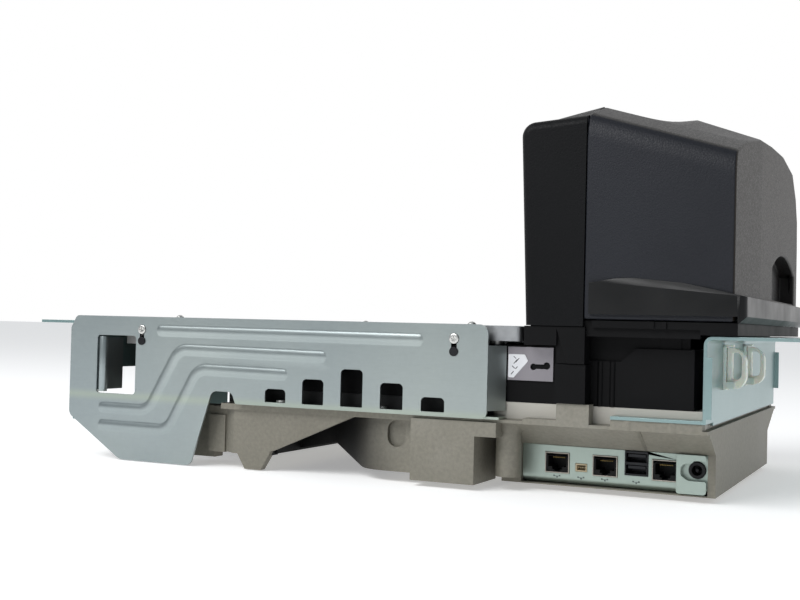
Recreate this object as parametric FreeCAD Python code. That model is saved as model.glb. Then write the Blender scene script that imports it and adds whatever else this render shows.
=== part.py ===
import FreeCAD, Part
import math
import os

from FreeCAD import Vector

# In-counter checkout scanner and scale. A die-cast chassis hangs in a counter cut-out between two
# hanger flanges. It carries sheet-steel side panels, a black optics tray with the weighing
# mechanism, a lift-off platter and, at one end, a plastic tower.
# +X runs along the unit towards the tower, +Y away from the connector side, +Z up.
# The origin is the centre of the unit's footprint at the level that its feet stand on.

# ---------------------------------------------------------------- driving dimensions, in mm
UNIT_LENGTH = 544.0        # from one hanger flange's tip to the other's
UNIT_WIDTH = 292.0         # over the crests of the side panels' ribs
COUNTER_Z = 101.0          # the platter's top, level with the counter
SHEET = 1.5                # galvanised side panels
BRACKET_SHEET = 2.0        # hanger brackets
FLANGE_TOP_Z = 98.0        # top of both hanger flanges
PANEL_LEFT = -241.0        # the side panels' free end
PANEL_RIGHT = 84.5         # their end under the tower
PANEL_TOP_Z = 101.8
PANEL_BEND_Z = 44.0        # underside of the panels' bottom flange
RIM_DROP = 0.1             # the casting's rim lies this far under that flange
BRACKET_X = 213.2          # inner face of the rear bracket's upright plate
RIB_RISE = 1.0             # the pressed ribs stand this far out
TRAY_FLOOR_Z = 54.5        # underside of the optics tray
TRAY_WALL = 2.5
TRAY_RIGHT = 206.0
TRAY_HALF_WIDTH = 129.5
PLATTER_RIGHT = 103.5
PLATTER_LEFT = -237.0
PLATTER_SHEET = 2.0
PLATTER_RIM = 9.0          # height of the platter's folded rim
PLATTER_GAP = 1.6          # between the platter's rim and the panels' lips
GLASS_LENGTH = 150.0       # the platter's scanning window
GLASS_WIDTH = 140.0
GLASS_THICK = 3.5
SCREW_TIP_GAP = 0.3        # platter underside to the levelling screws
TOWER_FRONT = 101.2        # the bezel's face at its top, and at its foot
TOWER_FOOT_X = 106.4
TOWER_SPLIT = 143.3        # where the bezel meets the rear cover
TOWER_BACK = 230.0
TOWER_HALF_WIDTH = 143.5
TOWER_WALL = 3.0
LIP_BACK = 237.0
LIP_TOP_Z = 120.5
LIP_LOW_Z = 109.3
IO_FACE_Y = -109.5         # outer face of the connector plate
JACK_WIDTH = 15.4
JACK_HEIGHT = 12.6
JACK_DEPTH = 18.0
RUNNING_FIT = 0.08         # radial clearance of a pin in its hole
BODY_GAP = 0.4             # between pieces that move past each other
BUTTON_R = 4.6
LEVEL_SCREW_R = 3.0

HALF_LENGTH = UNIT_LENGTH / 2
PANEL_FACE_Y = -(UNIT_WIDTH / 2 - RIB_RISE)
PANEL_IN_Y = PANEL_FACE_Y + SHEET
RIM_TOP_Z = PANEL_BEND_Z - RIM_DROP

os.makedirs("parts", exist_ok=True)


# ---------------------------------------------------------------- shape helpers
def box(x0, x1, y0, y1, z0, z1):
    return Part.makeBox(x1 - x0, y1 - y0, z1 - z0, Vector(x0, y0, z0))


def cylinder(x, y, z, radius, height, axis=(0, 0, 1)):
    return Part.makeCylinder(radius, height, Vector(x, y, z), Vector(*axis))


def rounded_wire(points, radii):
    """A closed wire through points, each corner rounded by its radius."""
    count = len(points)
    starts, ends, mids = [], [], []
    for i, point in enumerate(points):
        before = (points[i - 1] - point).normalize()
        after = (points[(i + 1) % count] - point).normalize()
        radius = radii[i]
        if radius == 0:
            starts.append(point)
            ends.append(point)
            mids.append(None)
            continue
        half = before.getAngle(after) / 2
        reach = radius / math.tan(half)
        starts.append(point + before * reach)
        ends.append(point + after * reach)
        bisector = (before + after).normalize()
        mids.append(point + bisector * (radius / math.sin(half) - radius))
    edges = []
    for i in range(count):
        if mids[i] is not None:
            edges.append(Part.Arc(starts[i], mids[i], ends[i]).toShape())
        following = starts[(i + 1) % count]
        if (following - ends[i]).Length > 1e-6:
            edges.append(Part.makeLine(ends[i], following))
    return Part.Wire(edges)


def profile_xz(points, y0, y1, radius=0.0):
    """Solid with the outline (x, z) between y0 and y1. A point may hold its own radius."""
    corners = [Vector(p[0], y0, p[1]) for p in points]
    radii = [p[2] if len(p) > 2 else radius for p in points]
    return Part.Face(rounded_wire(corners, radii)).extrude(Vector(0, y1 - y0, 0))


def profile_yz(points, x0, x1, radius=0.0):
    corners = [Vector(x0, p[0], p[1]) for p in points]
    radii = [p[2] if len(p) > 2 else radius for p in points]
    return Part.Face(rounded_wire(corners, radii)).extrude(Vector(x1 - x0, 0, 0))


def profile_xy(points, z0, z1, radius=0.0):
    corners = [Vector(p[0], p[1], z0) for p in points]
    radii = [p[2] if len(p) > 2 else radius for p in points]
    return Part.Face(rounded_wire(corners, radii)).extrude(Vector(0, 0, z1 - z0))


def rect(a0, a1, b0, b1):
    return [(a0, b0), (a1, b0), (a1, b1), (a0, b1)]


def fuse(shapes):
    whole = shapes[0].multiFuse(shapes[1:]) if len(shapes) > 1 else shapes[0]
    return whole.removeSplitter()


def cut(shape, tools):
    return shape.cut(tools)


def mirror_y(shape):
    return shape.mirror(Vector(0, 0, 0), Vector(0, 1, 0))


def loft(sections):
    """Ruled solid through (x, [(y, z), ...]) sections."""
    wires = []
    for x, outline in sections:
        corners = [Vector(x, y, z) for y, z in outline]
        wires.append(Part.makePolygon(corners + corners[:1]))
    return Part.makeLoft(wires, True, True)


def export(name, shape):
    solids = shape.Solids
    whole = solids[0] if len(solids) == 1 else Part.makeCompound(solids)
    whole.exportStep("parts/" + name + ".step")


# ---------------------------------------------------------------- side panels
RIB_BAR_R = 10.5
RIB_BEND_R = 13.0
RIB_PATHS = [
    [(-160.0, 92.2), (37.0, 91.2)],
    [(-210.0, 36.0), (-170.0, 36.0), (-145.0, 79.6), (-32.0, 78.2)],
    [(-210.0, 23.4), (-153.0, 23.2), (-129.0, 66.4), (-61.0, 65.4)],
]
SLOT_WIDTH = 16.0
SLOT_PITCH = 28.6
SLOT_FIRST_X = -74.0
SLOT_HEIGHTS = [9.0, 16.6, 24.2, 16.6, 9.0]
SLOT_BOTTOM_Z = PANEL_BEND_Z + 2.6
WINDOW = (-218.0, -182.0, PANEL_BEND_Z + 2.4, 88.0)      # x from, x to, z from, z to
KEYHOLES = [-177.0, 62.0]
KEYHOLE_Z = 84.6
KEYHOLE_R = 3.4
KEYHOLE_NECK = 1.9
PANEL_LIP = 4.0
FLANGE_SCREW_X = [-66.0, 8.0, 70.0]
FLANGE_SCREW_Y = 135.5
FLANGE_SCREW_R = 1.6
NOTCH_LEFT = -133.0
NOTCH_RIGHT = -97.5
NOTCH_TOP_Z = PANEL_BEND_Z + 8.0
FLAP_REACH = 29.0          # how far the window's flap is turned in
RETURN_END = (91.8, -131.6)    # where the return at the panel's tower end stops, x and y


def rib(path):
    """A pressed rib: a round bar, bent along the path, sunk so that RIB_RISE of it shows."""
    axis_y = PANEL_FACE_Y - RIB_RISE + RIB_BAR_R
    corners = [Vector(x, axis_y, z) for x, z in path]
    edges = []
    start = corners[0]
    for before, corner, after in zip(corners, corners[1:], corners[2:]):
        back = (before - corner).normalize()
        ahead = (after - corner).normalize()
        half = back.getAngle(ahead) / 2
        reach = RIB_BEND_R / math.tan(half)
        crown = corner + (back + ahead).normalize() * (RIB_BEND_R / math.sin(half) - RIB_BEND_R)
        edges.append(Part.makeLine(start, corner + back * reach))
        edges.append(Part.Arc(corner + back * reach, crown, corner + ahead * reach).toShape())
        start = corner + ahead * reach
    edges.append(Part.makeLine(start, corners[-1]))
    section = Part.Face(Part.Wire(Part.makeCircle(RIB_BAR_R, corners[0], corners[1] - corners[0])))
    bar = Part.Wire(edges).makePipe(section)
    ends = [Part.makeSphere(RIB_BAR_R, corner) for corner in (corners[0], corners[-1])]
    slab = box(PANEL_LEFT, PANEL_RIGHT, PANEL_FACE_Y - RIB_RISE - 1, PANEL_FACE_Y + SHEET / 2, 0, PANEL_TOP_Z)
    return fuse([bar.common(slab)] + [end.common(slab) for end in ends])


def side_panel():
    outline = [
        (PANEL_LEFT, 30.0, 6), (-194.0, 0.0, 10), (NOTCH_LEFT, 0.0, 5), (-116.5, NOTCH_TOP_Z, 5),
        (-100.5, NOTCH_TOP_Z, 5), (NOTCH_RIGHT, PANEL_BEND_Z, 2), (PANEL_RIGHT, PANEL_BEND_Z, 4),
        (PANEL_RIGHT, PANEL_TOP_Z, 6), (PANEL_LEFT + 5, PANEL_TOP_Z, 4), (PANEL_LEFT, 93.0, 3),
    ]
    wall = profile_xz(outline, PANEL_FACE_Y, PANEL_IN_Y)
    bottom_flange = box(-92, PANEL_RIGHT - 5, PANEL_FACE_Y + SHEET / 2, -131,
                        PANEL_BEND_Z, PANEL_BEND_Z + SHEET)
    top_lip = box(PANEL_LEFT + 20, PANEL_RIGHT - 9, PANEL_FACE_Y + SHEET / 2, PANEL_IN_Y + PANEL_LIP,
                  PANEL_TOP_Z - SHEET, PANEL_TOP_Z)
    return_x, return_y = RETURN_END
    end_return = profile_xy([(PANEL_RIGHT - SHEET, PANEL_FACE_Y + SHEET / 2),
                             (PANEL_RIGHT, PANEL_FACE_Y + SHEET / 2),
                             (return_x, return_y), (return_x - SHEET, return_y)], PANEL_BEND_Z + 5, 89.0)
    return_foot = box(PANEL_RIGHT - 6, return_x, PANEL_IN_Y, return_y, PANEL_BEND_Z, PANEL_BEND_Z + SHEET)
    window_flap = box(WINDOW[0], WINDOW[0] + SHEET, PANEL_FACE_Y + SHEET / 2, PANEL_FACE_Y + FLAP_REACH,
                      WINDOW[2] + 2, WINDOW[3] - 2)
    panel = fuse([wall, bottom_flange, top_lip, end_return, return_foot, window_flap]
                 + [rib(path) for path in RIB_PATHS])
    holes = [profile_xz(rect(WINDOW[0] + SHEET, WINDOW[1], WINDOW[2], WINDOW[3]),
                        PANEL_FACE_Y - 1, PANEL_IN_Y + 1, 2.5)]
    for i, height in enumerate(SLOT_HEIGHTS):
        x = SLOT_FIRST_X + i * SLOT_PITCH
        top = SLOT_BOTTOM_Z + height
        holes.append(profile_xz([(x, SLOT_BOTTOM_Z, 0.8), (x + SLOT_WIDTH, SLOT_BOTTOM_Z, 0.8),
                                 (x + SLOT_WIDTH, top, 3), (x, top, 3)], PANEL_FACE_Y - 1, PANEL_IN_Y + 1))
    for x in KEYHOLES:
        holes.append(cylinder(x, PANEL_FACE_Y - 1, KEYHOLE_Z + 8, KEYHOLE_R, SHEET + 2, (0, 1, 0)))
        holes.append(profile_xz(rect(x - KEYHOLE_NECK, x + KEYHOLE_NECK, KEYHOLE_Z - 2, KEYHOLE_Z + 6),
                                PANEL_FACE_Y - 1, PANEL_IN_Y + 1, 1.5))
    for x in FLANGE_SCREW_X:
        holes.append(cylinder(x, -FLANGE_SCREW_Y, PANEL_BEND_Z - 1, FLANGE_SCREW_R + 0.1, SHEET + 2))
    return cut(panel, holes)


near_panel = side_panel()
export("near_side_panel", near_panel)
export("far_side_panel", mirror_y(near_panel))

# Domed screws through the panels' keyholes into the tray's walls, and small domed bumpers on the
# panels' top lips.
SCREW_HEAD_R = 2.9
SCREW_SHANK_R = 1.5
panel_screws = []
for x in KEYHOLES:
    head = cylinder(x, PANEL_FACE_Y - 0.9, KEYHOLE_Z, SCREW_HEAD_R, 0.85, (0, 1, 0))
    shank = cylinder(x, PANEL_FACE_Y - 0.2, KEYHOLE_Z, SCREW_SHANK_R, SHEET + 2.7, (0, 1, 0))
    panel_screws.append(fuse([head, shank]))
panel_screws += [mirror_y(screw) for screw in panel_screws]
export("side_panel_screws", Part.makeCompound(panel_screws))

BUMPER_R = 3.0
bumpers = []
for x in (-146.6, PANEL_RIGHT - 12.0):
    for side in (-1, 1):
        y = side * (-PANEL_FACE_Y - 2.9)
        dome = Part.makeSphere(BUMPER_R, Vector(x, y, PANEL_TOP_Z - 1.2))
        flat = box(x - BUMPER_R, x + BUMPER_R, y - BUMPER_R, y + BUMPER_R, PANEL_TOP_Z, PANEL_TOP_Z + 4)
        bumpers.append(dome.common(flat))
export("panel_bumpers", Part.makeCompound(bumpers))


# ---------------------------------------------------------------- hanger brackets
LEFT_PLATE_X = PANEL_LEFT + 1.0
BEND_R = 4.0
FLANGE_HOLE_R = 2.75
FLANGE_HOLE_SPACING = 220.0
FLANGE_HOLE_INSET = 14.0
FLANGE_BOTTOM_Z = FLANGE_TOP_Z - BRACKET_SHEET
SEAT_HALF_Y = 54.0         # the left bracket's seat under the tray's tongue


def flange_holes(x):
    return [cylinder(x, side * FLANGE_HOLE_SPACING / 2, FLANGE_BOTTOM_Z - 1, FLANGE_HOLE_R, BRACKET_SHEET + 2)
            for side in (-1, 1)]


def left_hanger():
    """Upright end plate with the free flange turned out over the counter's edge."""
    inner = LEFT_PLATE_X + BRACKET_SHEET
    section = [
        (inner, 26.0), (inner, FLANGE_TOP_Z, BEND_R), (-HALF_LENGTH, FLANGE_TOP_Z),
        (-HALF_LENGTH, FLANGE_BOTTOM_Z), (LEFT_PLATE_X, FLANGE_BOTTOM_Z, BEND_R - BRACKET_SHEET),
        (LEFT_PLATE_X, 26.0),
    ]
    plate = profile_xz(section, -142, 142)
    tray_seat = box(inner - 0.5, inner + 22, -SEAT_HALF_Y, SEAT_HALF_Y,
                    TRAY_FLOOR_Z - BRACKET_SHEET, TRAY_FLOOR_Z)
    openings = [profile_yz(rect(side * 92 - 36, side * 92 + 36, 20, 63), LEFT_PLATE_X - 1, inner + 1, 5)
                for side in (-1, 1)]
    return cut(fuse([plate, tray_seat]), openings + flange_holes(-HALF_LENGTH + FLANGE_HOLE_INSET))


export("left_hanger_bracket", left_hanger())

END_RIM_Z = RIM_TOP_Z + 3.9    # the casting's ledge under the rear bracket's seats
CAST_WALL_HALF_Y = 130.0   # outer face of the casting's upstanding wall
BRACKET_HALF_Y = 141.0
BRACKET_LOW_Z = END_RIM_Z - 1.8
REAR_BEND_R = 5.0
REAR_SEAT_X = 160.0        # the rear bracket's seats start here
BRACKET_OUT_X = BRACKET_X + BRACKET_SHEET
CLIP_Y = [-84.0, -8.0]
CLIP_Z = 68.6
CLIP_TALL = 23.0
CLIP_WIDE = 7.0


def rear_hanger():
    """Z-shaped rear bracket: seat flange on the casting, upright plate, flange over the counter."""
    section = [
        (BRACKET_X, BRACKET_LOW_Z), (BRACKET_X, FLANGE_TOP_Z, REAR_BEND_R), (HALF_LENGTH, FLANGE_TOP_Z),
        (HALF_LENGTH, FLANGE_BOTTOM_Z), (BRACKET_OUT_X, FLANGE_BOTTOM_Z, REAR_BEND_R - BRACKET_SHEET),
        (BRACKET_OUT_X, BRACKET_LOW_Z),
    ]
    plate = profile_xz(section, -BRACKET_HALF_Y, BRACKET_HALF_Y)
    seat_z = END_RIM_Z + RIM_DROP
    seat = box(REAR_SEAT_X, BRACKET_X + 1, -BRACKET_HALF_Y, -CAST_WALL_HALF_Y - 0.6,
               seat_z, seat_z + BRACKET_SHEET)
    far_seat = mirror_y(seat)
    turned_edge = box(BRACKET_OUT_X - 0.5, BRACKET_OUT_X + 3, -BRACKET_HALF_Y, -BRACKET_HALF_Y + 1.6,
                      BRACKET_LOW_Z + 5, 86)
    edges = [turned_edge, mirror_y(turned_edge)]
    step = box(BRACKET_X - 1, BRACKET_OUT_X + 4, 136, BRACKET_HALF_Y + 1,
               BRACKET_LOW_Z - 1, BRACKET_LOW_Z + 12)
    notch = box(BRACKET_X - 1, BRACKET_OUT_X + 4, -BRACKET_HALF_Y - 1, -118, BRACKET_LOW_Z - 1, seat_z)
    return cut(fuse([plate, seat, far_seat] + edges),
               [step, notch] + flange_holes(HALF_LENGTH - FLANGE_HOLE_INSET))


export("rear_hanger_bracket", rear_hanger())

# Nylon cable clips: a base strip with a pivot pin at its foot, and a D-shaped loop that swings
# open on it.
CLIP_PIN_R = 1.3
CLIP_BASE = 1.8
CLIP_REACH = 11.0
CLIP_BAR = 2.6
for index, y in enumerate(CLIP_Y, start=1):
    x = BRACKET_OUT_X + 0.02
    low, high = CLIP_Z, CLIP_Z + CLIP_TALL
    half = CLIP_WIDE / 2
    pin_x = x + CLIP_BASE + CLIP_PIN_R + 1.9
    foot_half = half + 2.0
    base = box(x, x + CLIP_BASE, y - foot_half, y + foot_half, low - 3, high)
    ears = [box(x, pin_x + CLIP_PIN_R + 0.9, side0, side1, low - 2.2, low + 2.2)
            for side0, side1 in ((y - foot_half, y - half - 0.4), (y + half + 0.4, y + foot_half))]
    pin = cylinder(pin_x, y - foot_half, low, CLIP_PIN_R, 2 * foot_half, (0, 1, 0))
    hook = box(x, x + CLIP_BASE + 3.4, y - half, y + half, high, high + 1.4)
    export(f"cable_clip_base_{index}", fuse([base, hook, pin] + ears))
    inner_x = x + CLIP_BASE + BODY_GAP
    outer = profile_xz([(inner_x, low - 2.4, 2), (inner_x + CLIP_REACH, low - 2.4, 8),
                        (inner_x + CLIP_REACH, high - BODY_GAP, 9), (inner_x, high - BODY_GAP, 1)],
                       y - half, y + half)
    hollow = profile_xz([(inner_x + CLIP_BAR, low + 3.4, 1),
                         (inner_x + CLIP_REACH - CLIP_BAR, low + 3.4, 3.4),
                         (inner_x + CLIP_REACH - CLIP_BAR, high - CLIP_BAR - 0.6, 3.4),
                         (inner_x + CLIP_BAR, high - CLIP_BAR - 0.6, 1)], y - half - 1, y + half + 1)
    pivot_hole = cylinder(pin_x, y - half - 1, low, CLIP_PIN_R + RUNNING_FIT, CLIP_WIDE + 2, (0, 1, 0))
    export(f"cable_clip_loop_{index}", cut(outer, [hollow, pivot_hole]))


# ---------------------------------------------------------------- die-cast chassis
END_BOX_LEFT = 83.0
END_BOX_RIGHT = 216.0
END_BOX_NEAR = -112.0
END_BOX_FAR = 100.0
END_BOX_LOW_Z = 3.0
LIP_Z = 28.0               # underside of the lip over the connectors
CAST_WALL = 3.5
POCKET = (95.9, 211.4)     # the connector bay, x from and to
RIM_HALF_Y = 140.0
GUSSET_END_X = -3.0
POST_X = 91.6
FOOT_X = (-99.5, -93.0, -80.6, -73.0)
BLOCK_LOW_Z = 10.0
LEG_LOW_Z = 56.0           # the tray's leg stands on the casting's raised step here
SEAT_SCREW_X = [170.0, 196.0]
SCOOP_Y = -134.0           # face of the tub beside the deep box


def chassis():
    # end box: sloped shoulders carry the wide rim above the narrower connector bay
    end_outline = [
        (END_BOX_NEAR, END_BOX_LOW_Z), (END_BOX_NEAR, LIP_Z), (-134, 42), (-RIM_HALF_Y, 42),
        (-RIM_HALF_Y, RIM_TOP_Z), (RIM_HALF_Y, RIM_TOP_Z), (RIM_HALF_Y, 42), (134, 42),
        (END_BOX_FAR, LIP_Z), (END_BOX_FAR, END_BOX_LOW_Z),
    ]
    end_box = profile_yz(end_outline, END_BOX_LEFT, END_BOX_RIGHT)
    end_hollow = profile_yz([
        (END_BOX_NEAR + 24, END_BOX_LOW_Z + CAST_WALL), (END_BOX_NEAR + 24, LIP_Z), (-118, 41), (118, 41),
        (END_BOX_FAR - CAST_WALL, LIP_Z), (END_BOX_FAR - CAST_WALL, END_BOX_LOW_Z + CAST_WALL)],
        END_BOX_LEFT + CAST_WALL, END_BOX_RIGHT - CAST_WALL)
    bay = box(POCKET[0], POCKET[1], END_BOX_NEAR - 1, END_BOX_NEAR + 25, END_BOX_LOW_Z + 0.8, LIP_Z)
    bracket_pads = [box(REAR_SEAT_X, BRACKET_X - 0.2, side * 134 - 6, side * 134 + 6, 42, END_RIM_Z)
                    for side in (-1, 1)]
    raised_steps = [box(x0, x1, side * 135.5 - 4.6, side * 135.5 + 4.6, 42, top)
                    for x0, x1, top in ((106, 128, RIM_TOP_Z + 1.7), (127, 147, LEG_LOW_Z - 0.3))
                    for side in (-1, 1)]
    seat_bosses = [cylinder(x, side * 134.6, 42, 6, END_RIM_Z - 42) for x in SEAT_SCREW_X for side in (-1, 1)]
    rib_blades = [profile_yz([(END_BOX_NEAR, LIP_Z), (-137, 43), (-120, 43)], 174, 176),
                  profile_yz([(END_BOX_FAR, LIP_Z), (137, 43), (120, 43)], 174, 176)]

    # middle: a rim plate with the rounded tub under it, and the deep box beside the tub
    rim = box(-112, END_BOX_LEFT + 1, -RIM_HALF_Y, RIM_HALF_Y, 40, RIM_TOP_Z)
    upstand = box(-112, BRACKET_X - 1, -CAST_WALL_HALF_Y, CAST_WALL_HALF_Y, 40, TRAY_FLOOR_Z - RIM_DROP)
    upstand_hollow = box(-106, BRACKET_X - 7, -124, 124, 44.5, TRAY_FLOOR_Z + 1)
    rim_hollow = box(-104, END_BOX_LEFT - 5, -118, 118, 39, RIM_TOP_Z + 1)
    tub_outline = [(-75, 11.8), (-39, 19.3, 4), (-8, 6.2, 14), (76, 6.2), (76, 41), (-75, 41)]
    tub_plan = [(-75, -98), (-42, -106, 30), (2, SCOOP_Y, 30), (40, SCOOP_Y), (40, -108), (76, -108),
                (76, 108), (40, 108), (40, -SCOOP_Y), (2, -SCOOP_Y, 30), (-42, 106, 30), (-75, 98)]
    tub = profile_xz(tub_outline, SCOOP_Y, -SCOOP_Y).common(profile_xy(tub_plan, 0, 41))
    tub_hollow = profile_xz([(-70, 16), (-38, 23.5, 3), (-4, 10, 8), (72, 10), (72, 44), (-70, 44)], -92, 92)
    oval = profile_xz(rect(12.5, 25.5, 22, 39), SCOOP_Y - 1, SCOOP_Y + 3, 6.4)
    far_oval = mirror_y(oval)
    mid_box = fuse([box(33, 76, -143, -104, END_BOX_LOW_Z, 42), box(33, 90, -143, -104, 33, 42)])
    mid_hollow = box(36.5, 72.5, -139.5, -107, END_BOX_LOW_Z + CAST_WALL, 43)
    far_mid_box = mirror_y(mid_box)
    far_mid_hollow = mirror_y(mid_hollow)

    # left block with the tapered foot, the flat gusset web and the fluted corner post
    left_block = box(-128, -72, -130, 130, BLOCK_LOW_Z + 1, 41)
    left_hollow = box(-124, -76, -126, 126, BLOCK_LOW_Z + 4, 45)
    block_face = profile_xy([(-102.5, -138, 1.5), (-74, -138), (-74, -126), (-114, -126), (-114, -130.5, 1)],
                            BLOCK_LOW_Z, 43.4)
    step_post = box(-127, -113.5, -132, -126, BLOCK_LOW_Z - 0.6, 35)
    rear_post = box(-150, -127, -124, -114, 4.5, 41)
    foot = profile_xz([(FOOT_X[0], BLOCK_LOW_Z + 0.5), (FOOT_X[1], 0), (FOOT_X[2], 0), (FOOT_X[3], 12.6)],
                      -138, -132)
    gusset = profile_xz([(-74.8, 12), (-74.8, RIM_TOP_Z), (GUSSET_END_X, RIM_TOP_Z), (GUSSET_END_X, 43)],
                        -138, -134.5)
    # round post at the end of the connector bay, with its collar
    post = cylinder(POST_X, -124, 8, 7.9, 28)
    collar = cylinder(POST_X, -124, 36, 9.6, RIM_TOP_Z - 36)
    bolt_boss = cylinder(POST_X, -124, RIM_TOP_Z - 0.5, 5, 1.4)

    solids = [end_box, rim, upstand, tub, mid_box, far_mid_box, left_block, block_face, mirror_y(block_face),
              step_post, mirror_y(step_post), rear_post, mirror_y(rear_post), foot, mirror_y(foot),
              gusset, mirror_y(gusset),
              post, mirror_y(post), collar, mirror_y(collar), bolt_boss, mirror_y(bolt_boss)]
    solids += bracket_pads + raised_steps + seat_bosses + rib_blades
    body = fuse(solids)
    return cut(body, [end_hollow, bay, rim_hollow, upstand_hollow, tub_hollow, oval, far_oval, mid_hollow,
                      far_mid_hollow, left_hollow])


export("die_cast_chassis", chassis())

# Washer-head screws that pull the panels' bottom flanges and the rear bracket's seats down.
flange_screws = []
for x in FLANGE_SCREW_X:
    for side in (-1, 1):
        head = cylinder(x, side * FLANGE_SCREW_Y, PANEL_BEND_Z + SHEET, 4.0, 2.2)
        shank = cylinder(x, side * FLANGE_SCREW_Y, RIM_TOP_Z, FLANGE_SCREW_R,
                         PANEL_BEND_Z + SHEET - RIM_TOP_Z + 0.5)
        flange_screws.append(fuse([head, shank]))
export("panel_flange_screws", Part.makeCompound(flange_screws))


# ---------------------------------------------------------------- optics tray
TRAY_LEFT = LEFT_PLATE_X + BRACKET_SHEET + 0.6
TRAY_TOP_LEFT_Z = 89.5
OPTICS = (-108.0, 86.0, 98.0)      # the camera housing: x from, x to, half width
OPTICS_TOP_Z = 90.0
OPTICS_WALL = 2.5
FLUTE_X = [143.0, 150.5, 158.0]
CELL_SEAT = (-226.0, -196.0)
TONGUE_END_X = -186.0      # left of this only the tray's narrow tongue goes on to the bracket
LEG_TOP_Z = 79.2
CELL_LOW_Z = TRAY_FLOOR_Z + 6.0


def optics_tray():
    """Black tray on the casting: floor, side walls with the stepped outline and the fluted post."""
    side = [
        (TRAY_LEFT, TRAY_FLOOR_Z), (TRAY_RIGHT, TRAY_FLOOR_Z), (TRAY_RIGHT, 89.6, 2),
        (172, 89.6, 2), (163, 81.6), (141, 81.6), (139.5, 96), (123, 96), (123, TRAY_TOP_LEFT_Z),
        (TRAY_LEFT, TRAY_TOP_LEFT_Z),
    ]
    near_wall = profile_xz(side, -TRAY_HALF_WIDTH, -TRAY_HALF_WIDTH + TRAY_WALL)
    floor = box(TRAY_LEFT, TRAY_RIGHT, -TRAY_HALF_WIDTH, TRAY_HALF_WIDTH, TRAY_FLOOR_Z,
                TRAY_FLOOR_Z + TRAY_WALL)
    ends = [box(TRAY_LEFT, TRAY_LEFT + TRAY_WALL, -TRAY_HALF_WIDTH, TRAY_HALF_WIDTH, TRAY_FLOOR_Z, 74),
            box(TRAY_RIGHT - TRAY_WALL, TRAY_RIGHT, -TRAY_HALF_WIDTH, TRAY_HALF_WIDTH, TRAY_FLOOR_Z, 90)]
    flutes = [cylinder(x, -TRAY_HALF_WIDTH + 0.6, TRAY_FLOOR_Z, 1.8, 27) for x in FLUTE_X]
    cell_seat = box(CELL_SEAT[0], CELL_SEAT[1], -16, 16, TRAY_FLOOR_Z, CELL_LOW_Z)
    block_long = -PANEL_IN_Y - 0.1 - (TRAY_HALF_WIDTH - TRAY_WALL)
    blocks = [cylinder(x, side_y, KEYHOLE_Z, 4.0, block_long, (0, 1, 0))
              for x in KEYHOLES for side_y in (PANEL_IN_Y + 0.1, TRAY_HALF_WIDTH - TRAY_WALL)]
    leg = box(126, 144.8, -141.5, -TRAY_HALF_WIDTH + 0.5, LEG_LOW_Z, LEG_TOP_Z)
    tray = fuse([floor, near_wall, mirror_y(near_wall), cell_seat, leg, mirror_y(leg)] + ends + flutes
                + [mirror_y(flute) for flute in flutes] + blocks)
    screw_holes = [cylinder(x, PANEL_FACE_Y, KEYHOLE_Z, SCREW_SHANK_R + 0.05, -2 * PANEL_FACE_Y, (0, 1, 0))
                   for x in KEYHOLES]
    cable_way = box(186, 204, -40, 40, TRAY_FLOOR_Z - 1, TRAY_FLOOR_Z + TRAY_WALL + 1)
    corners = [box(TRAY_LEFT - 1, TONGUE_END_X, side * 100 - 45, side * 100 + 45, TRAY_FLOOR_Z - 1, 96)
               for side in (-1, 1)]
    return cut(tray, screw_holes + corners + [cable_way])


export("optics_tray", optics_tray())

x0, x1, half = OPTICS
optics_low = TRAY_FLOOR_Z + TRAY_WALL
housing = box(x0, x1, -half, half, optics_low, OPTICS_TOP_Z)
housing_inside = box(x0 + OPTICS_WALL, x1 - OPTICS_WALL, -half + OPTICS_WALL, half - OPTICS_WALL,
                     optics_low - 1, OPTICS_TOP_Z - OPTICS_WALL)
LOWER_GLASS = (-94.0, 62.0, 76.0)
opening = box(LOWER_GLASS[0] + 4, LOWER_GLASS[1] - 4, -LOWER_GLASS[2] + 4, LOWER_GLASS[2] - 4, 80, 95)
rebate = box(LOWER_GLASS[0] - 0.2, LOWER_GLASS[1] + 0.2, -LOWER_GLASS[2] - 0.2, LOWER_GLASS[2] + 0.2,
             OPTICS_TOP_Z - 1.2, 95)
export("horizontal_optics_housing", cut(housing, [housing_inside, opening, rebate]))
export("lower_window_glass", box(LOWER_GLASS[0], LOWER_GLASS[1], -LOWER_GLASS[2], LOWER_GLASS[2],
                                 OPTICS_TOP_Z - 1.2, OPTICS_TOP_Z - 0.1))
BOARD_HALF_Y = 52.0
export("main_board", box(x0 + 6, x1 - 6, -BOARD_HALF_Y, BOARD_HALF_Y, optics_low + 2, optics_low + 3.6))
board_posts = [cylinder(x, y, optics_low, 3.0, 2.0)
               for x in (x0 + 12, x1 - 12) for y in (-BOARD_HALF_Y + 6, BOARD_HALF_Y - 6)]
export("board_standoffs", Part.makeCompound(board_posts))
camera = fuse([box(60, 76, -14, 14, optics_low + 6, optics_low + 26),
               cylinder(50, 0, optics_low + 16, 7, 11, (1, 0, 0))])
export("horizontal_camera", fuse([camera, box(62, 74, -6, 6, optics_low + 3.6, optics_low + 7)]))
MIRROR_THICK = 3.0
for index, side in enumerate((-1, 1), start=1):
    foot = optics_low + 0.1
    slope = [(side * 60, foot), (side * (60 + MIRROR_THICK), foot), (side * (88 + MIRROR_THICK), 84.0),
             (side * 88, 84.0)]
    export(f"horizontal_mirror_{index}", profile_yz(slope, -88, 44))
led_bars = [box(66, 74, y - 18, y + 18, optics_low + 24, optics_low + 26) for y in (-44, 44)]
led_feet = [box(68, 72, y - 4, y + 4, optics_low + 3.6, optics_low + 24.2) for y in (-44, 44)]
export("horizontal_led_bars", Part.makeCompound([fuse(pair) for pair in zip(led_bars, led_feet)]))

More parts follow.
